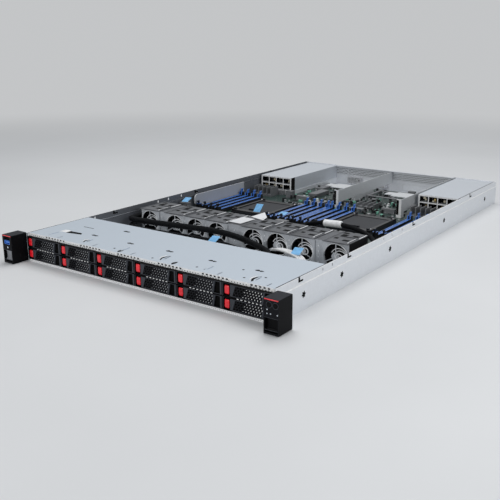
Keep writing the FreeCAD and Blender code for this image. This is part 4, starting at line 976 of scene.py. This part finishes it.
def supply_insides(side, name):
    """Cream, gold and dark parts behind the grid of a power supply's inner end."""
    node = "psu_" + name
    low = corner(node)[0]
    pick = random.Random(31 + side)
    # front faces of the grid in lit steel (painted light), the inside behind it near-black (painted
    # shade)
    repaint(node, LIT_STEEL, lambda c, n: n.y < -0.9 and c.y < SUPPLY_FRONT + 0.5)
    repaint(node, SHADE_BLACK,
            lambda c, n: SUPPLY_FRONT + 0.5 < c.y < SUPPLY_FRONT + 30 and n.z < 0.9)
    for label, material, count in (("cream", CREAM, 7), ("gold", GOLD, 3), ("dark", CHIP, 9)):
        shape = Shape()
        for _ in range(count):
            cell = pick.randrange(4)
            x = low.x + 4.5 + cell * GRID_PITCH + pick.uniform(0, 8)
            z = low.z + 15.0 + pick.choice((0, GRID_RISE)) + pick.uniform(0, 4)
            y = SUPPLY_FRONT + pick.uniform(4, 9)
            shape.box(x, x + pick.uniform(2, 5), y, y + 4, z, z + pick.uniform(2, 5.5))
        shape.done("supply_%s_%s" % (name, label), material, "supply_case", 0.3, body=node)


def vents_and_channels():
    """Perforated plates before the slot blanks, near-black channels on the riser fronts (painted
    shade), and the riser fronts in lit steel (painted light).
    """
    plates, channels = Shape(), Shape()
    for x0, x1, z0, z1 in ((-107, -7, 22.2, 38.8), (22, 122, 22.2, 38.8), (25, 95, 4.0, 16.0)):
        outline = ((x0, z0), (x1, z0), (x1, z1 - 1.0), (x1 - 1.0, z1), (x0 + 1.0, z1), (x0, z1 - 1.0))
        plates.prism([(x, VENT_Y, z) for x, z in outline], (0, 0.3, 0))
    plates.done("rear_vent_plates", PERFORATED, "case_steel")
    for x, y in ((-2.0, 540.0), (130.0, 530.0)):
        outline = ((x - 8.8, 12.0), (x - 4.2, 12.0), (x - 4.2, 38.0), (x - 8.8, 39.0))
        channels.prism([(u, y - 0.15, z) for u, z in outline], (0, 0.15, 0))
    channels.done("riser_channel_shade", SHADE_BLACK, "case_steel")
    # riser fronts in lit steel: painted light
    repaint("riser_cages", LIT_STEEL, lambda c, n: n.y < -0.9 and c.y < 545)


def rear():
    paint(PERFORATED, "rear_panel")
    paint(RISER, "riser_cages")
    paint(PORT, "io_ports")
    paint(SUPPLY, "psu_left", "psu_right")
    paint(RED, "psu_left_latch", "psu_right_latch")
    # upper port in near-black: painted shade in its opening
    repaint("io_ports", SHADE_BLACK, lambda c, n: c.y < 0 and c.z > 35.2)
    repaint("io_ports", USB_BLUE, lambda c, n: c.y < 0 and c.z < 35.2)
    vents_and_channels()
    supply_insides(-1, "left")
    supply_insides(1, "right")


# ---- case ----
WALL_X = 219.0                 # outer face of the side walls
NOTCH_BACK_X = 216.9           # just inside their upper strip, behind the notches
LOUVRES = ((684, 14.5), (613, 15), (585, 7))
RAIL_SLOTS = (58.5, 152.5, 297, 506.5, 713)
NOTCHES = (50, 170.5, 378.5, 631)


def side_marks():
    """Painted highlights on the pressed louvres, painted shade round the rail slots, and near-black
    sheets behind the notches as painted shade.
    """
    for side, name in ((-1, "left"), (1, "right")):
        marks, rims, notch_shades = Shape(), Shape(), Shape()
        wall, back = side * WALL_X, side * NOTCH_BACK_X
        for y, z in LOUVRES:
            for a in range(0, 90, 15):
                quad = [polar(r, turn) for r, turn in ((6, a), (6, a + 15), (5, a + 15), (5, a))]
                marks.prism([(wall, y + dy, z + dz) for dy, dz in quad], (side * 0.25, 0, 0))
        marks.done(name + "_wall_louvre_highlights", LIT_STEEL, "case_steel", 0.05)
        star = [polar(3.0 if k % 2 else 4.8, 30 * k + 10) for k in range(12)]
        for y in RAIL_SLOTS:
            rims.prism([(wall, y + dy, 20 + dz) for dy, dz in star], (side * 0.12, 0, 0))
        rims.done(name + "_rail_slot_shade", SHADE_BLACK, "case_steel")
        outline = ((-1.9, 37.1), (8.9, 37.1), (8.9, 39.5), (1.9, 39.5), (1.9, 43.1), (-1.9, 43.1))
        for y in NOTCHES:
            notch_shades.prism([(back, y + dy, z) for dy, z in outline], (side * 0.5, 0, 0))
        notch_shades.done(name + "_notch_shade_sheets", SHADE_BLACK, "case_steel")


def case():
    paint(STEEL, "chassis_tray")
    paint(COVER, "front_top_cover")
    paint(CAGE, "drive_cage")
    paint(EAR, "left_ear_housing", "right_ear_housing")
    paint(EAR_LATCH, "left_ear_latch")
    paint(EAR, "right_ear_latch")
    paint(BUTTON, "power_button", "id_button")
    paint(SCREW, "chassis_screws")
    # front flange of the cover in lit steel: painted light
    repaint("front_top_cover", LIT_STEEL, lambda c, n: c.y < 1.4 and n.z < 0.5)
    # inner faces of the side walls in the dark steel: painted shade
    repaint("chassis_tray", SHADED_WALL_STEEL, lambda c, n: n.x * c.x < 0 and abs(c.x) > 210
            and abs(n.x) > 0.9)
    # front lip of the floor in lit steel: painted light
    repaint("chassis_tray", LIT_STEEL, lambda c, n: c.y < 1.2 and c.z < 4)
    # sloped step along the top of the side walls in lit steel: painted highlight
    repaint("chassis_tray", LIT_STEEL, lambda c, n: abs(c.x) > 216 and 0.3 < n.z
            and c.z > 30 and abs(n.y) < 0.5)
    side_marks()


# ---- studio ----
PALE = (0.55, 0.56, 0.57, 1.0)
SKY = (0.86, 0.90, 0.95, 1.0)
FLOOR_HALF = 30.0
FADE = (1.05, 2.6)             # where the lit floor passes into the pale backdrop
# name, place, aim, size and watts of each area light
LIGHTS = (("key", (1.3, 0.05, 0.7), (0.15, 0.3, 0.0), 0.9, 6.5),
          ("top", (-0.2, 0.8, 2.0), (0.0, 0.3, 0.0), 1.5, 25.0),
          ("front", (-0.3, -1.6, 0.6), (0.0, 0.0, 0.02), 0.7, 10.5))
CAMERA_PLACE = (0.64015, -0.63449, 0.31184)
CAMERA_YAW, CAMERA_PITCH, CAMERA_ROLL = 35.812, 16.295, -0.217
CAMERA_LENS = 51.72


def pale_floor():
    """Floor that keeps the shadow near the object and turns into the backdrop far from it."""
    floor = bpy.data.meshes.new("floor")
    s = FLOOR_HALF
    floor.from_pydata([(-s, -s, 0), (s, -s, 0), (s, s, 0), (-s, s, 0)], [], [(0, 1, 2, 3)])
    p = Paint("floor_pale", 0.7, 0.0, 0.0)
    away = p.add("ShaderNodeVectorMath", operation="LENGTH")
    p.link(p.place, away.inputs[0])
    fade = p.add("ShaderNodeMapRange", interpolation_type="SMOOTHSTEP")
    tune(fade, From_Min=FADE[0], From_Max=FADE[1])
    p.link(away.outputs["Value"], fade.inputs["Value"])
    tune(p.shader, Emission_Color=PALE)
    p.link(fade.outputs["Result"], p.shader.inputs["Emission Strength"])
    near = p.ramp(p.noise(3.0), *spread((0.70, 0.71, 0.72), (0.74, 0.75, 0.76)))
    floor.materials.append(p.finish(p.mix(fade.outputs["Result"], near, (0.0, 0.0, 0.0))))
    placed("floor", floor)


def lights():
    for name, place, aim, size, power in LIGHTS:
        light = bpy.data.lights.new(name, "AREA")
        light.size = size
        light.energy = power
        lamp = placed(name, light)
        lamp.location = place
        lamp.rotation_euler = (Vector(aim) - Vector(place)).to_track_quat("-Z", "Y").to_euler()


def backdrop():
    """Soft sky light, and a pale backdrop for what is seen directly, in metal or through glass."""
    world = bpy.data.worlds.new("studio")
    world.use_nodes = True
    nodes, links = world.node_tree.nodes, world.node_tree.links
    sky = nodes["Background"]
    tune(sky, Color=SKY, Strength=0.26)
    pale = nodes.new("ShaderNodeBackground")
    tune(pale, Color=PALE)
    path = nodes.new("ShaderNodeLightPath")
    seen = path.outputs["Is Camera Ray"]
    for kind in ("Is Glossy Ray", "Is Transmission Ray"):
        either = nodes.new("ShaderNodeMath")
        either.operation = "MAXIMUM"
        links.new(seen, either.inputs[0])
        links.new(path.outputs[kind], either.inputs[1])
        seen = either.outputs["Value"]
    choose = nodes.new("ShaderNodeMixShader")
    links.new(seen, choose.inputs["Fac"])
    links.new(sky.outputs["Background"], choose.inputs[1])
    links.new(pale.outputs["Background"], choose.inputs[2])
    links.new(choose.outputs["Shader"], nodes["World Output"].inputs["Surface"])
    bpy.context.scene.world = world
    bpy.context.scene.view_settings.view_transform = "Standard"


def camera():
    """Three-quarter view from above the front right corner."""
    yaw, pitch, roll = (math.radians(a) for a in (CAMERA_YAW, CAMERA_PITCH, CAMERA_ROLL))
    forward = Vector((-math.sin(yaw) * math.cos(pitch), math.cos(yaw) * math.cos(pitch),
                      -math.sin(pitch)))
    right = Vector((math.cos(yaw), math.sin(yaw), 0.0))
    up = right.cross(forward)
    right = right * math.cos(roll) + up * math.sin(roll)
    up = right.cross(forward)
    data = bpy.data.cameras.new("camera")
    data.lens = CAMERA_LENS
    data.sensor_width = 36.0
    data.clip_start = 0.02
    view = placed("camera", data)
    turn = Matrix((right, up, -forward)).transposed().to_4x4()
    view.matrix_world = Matrix.Translation(CAMERA_PLACE) @ turn
    bpy.context.scene.camera = view


case()
drive_bays()
light_holes()
cover_details()
ears()
fans()
cables()
boards()
rear()
pale_floor()
lights()
backdrop()
camera()
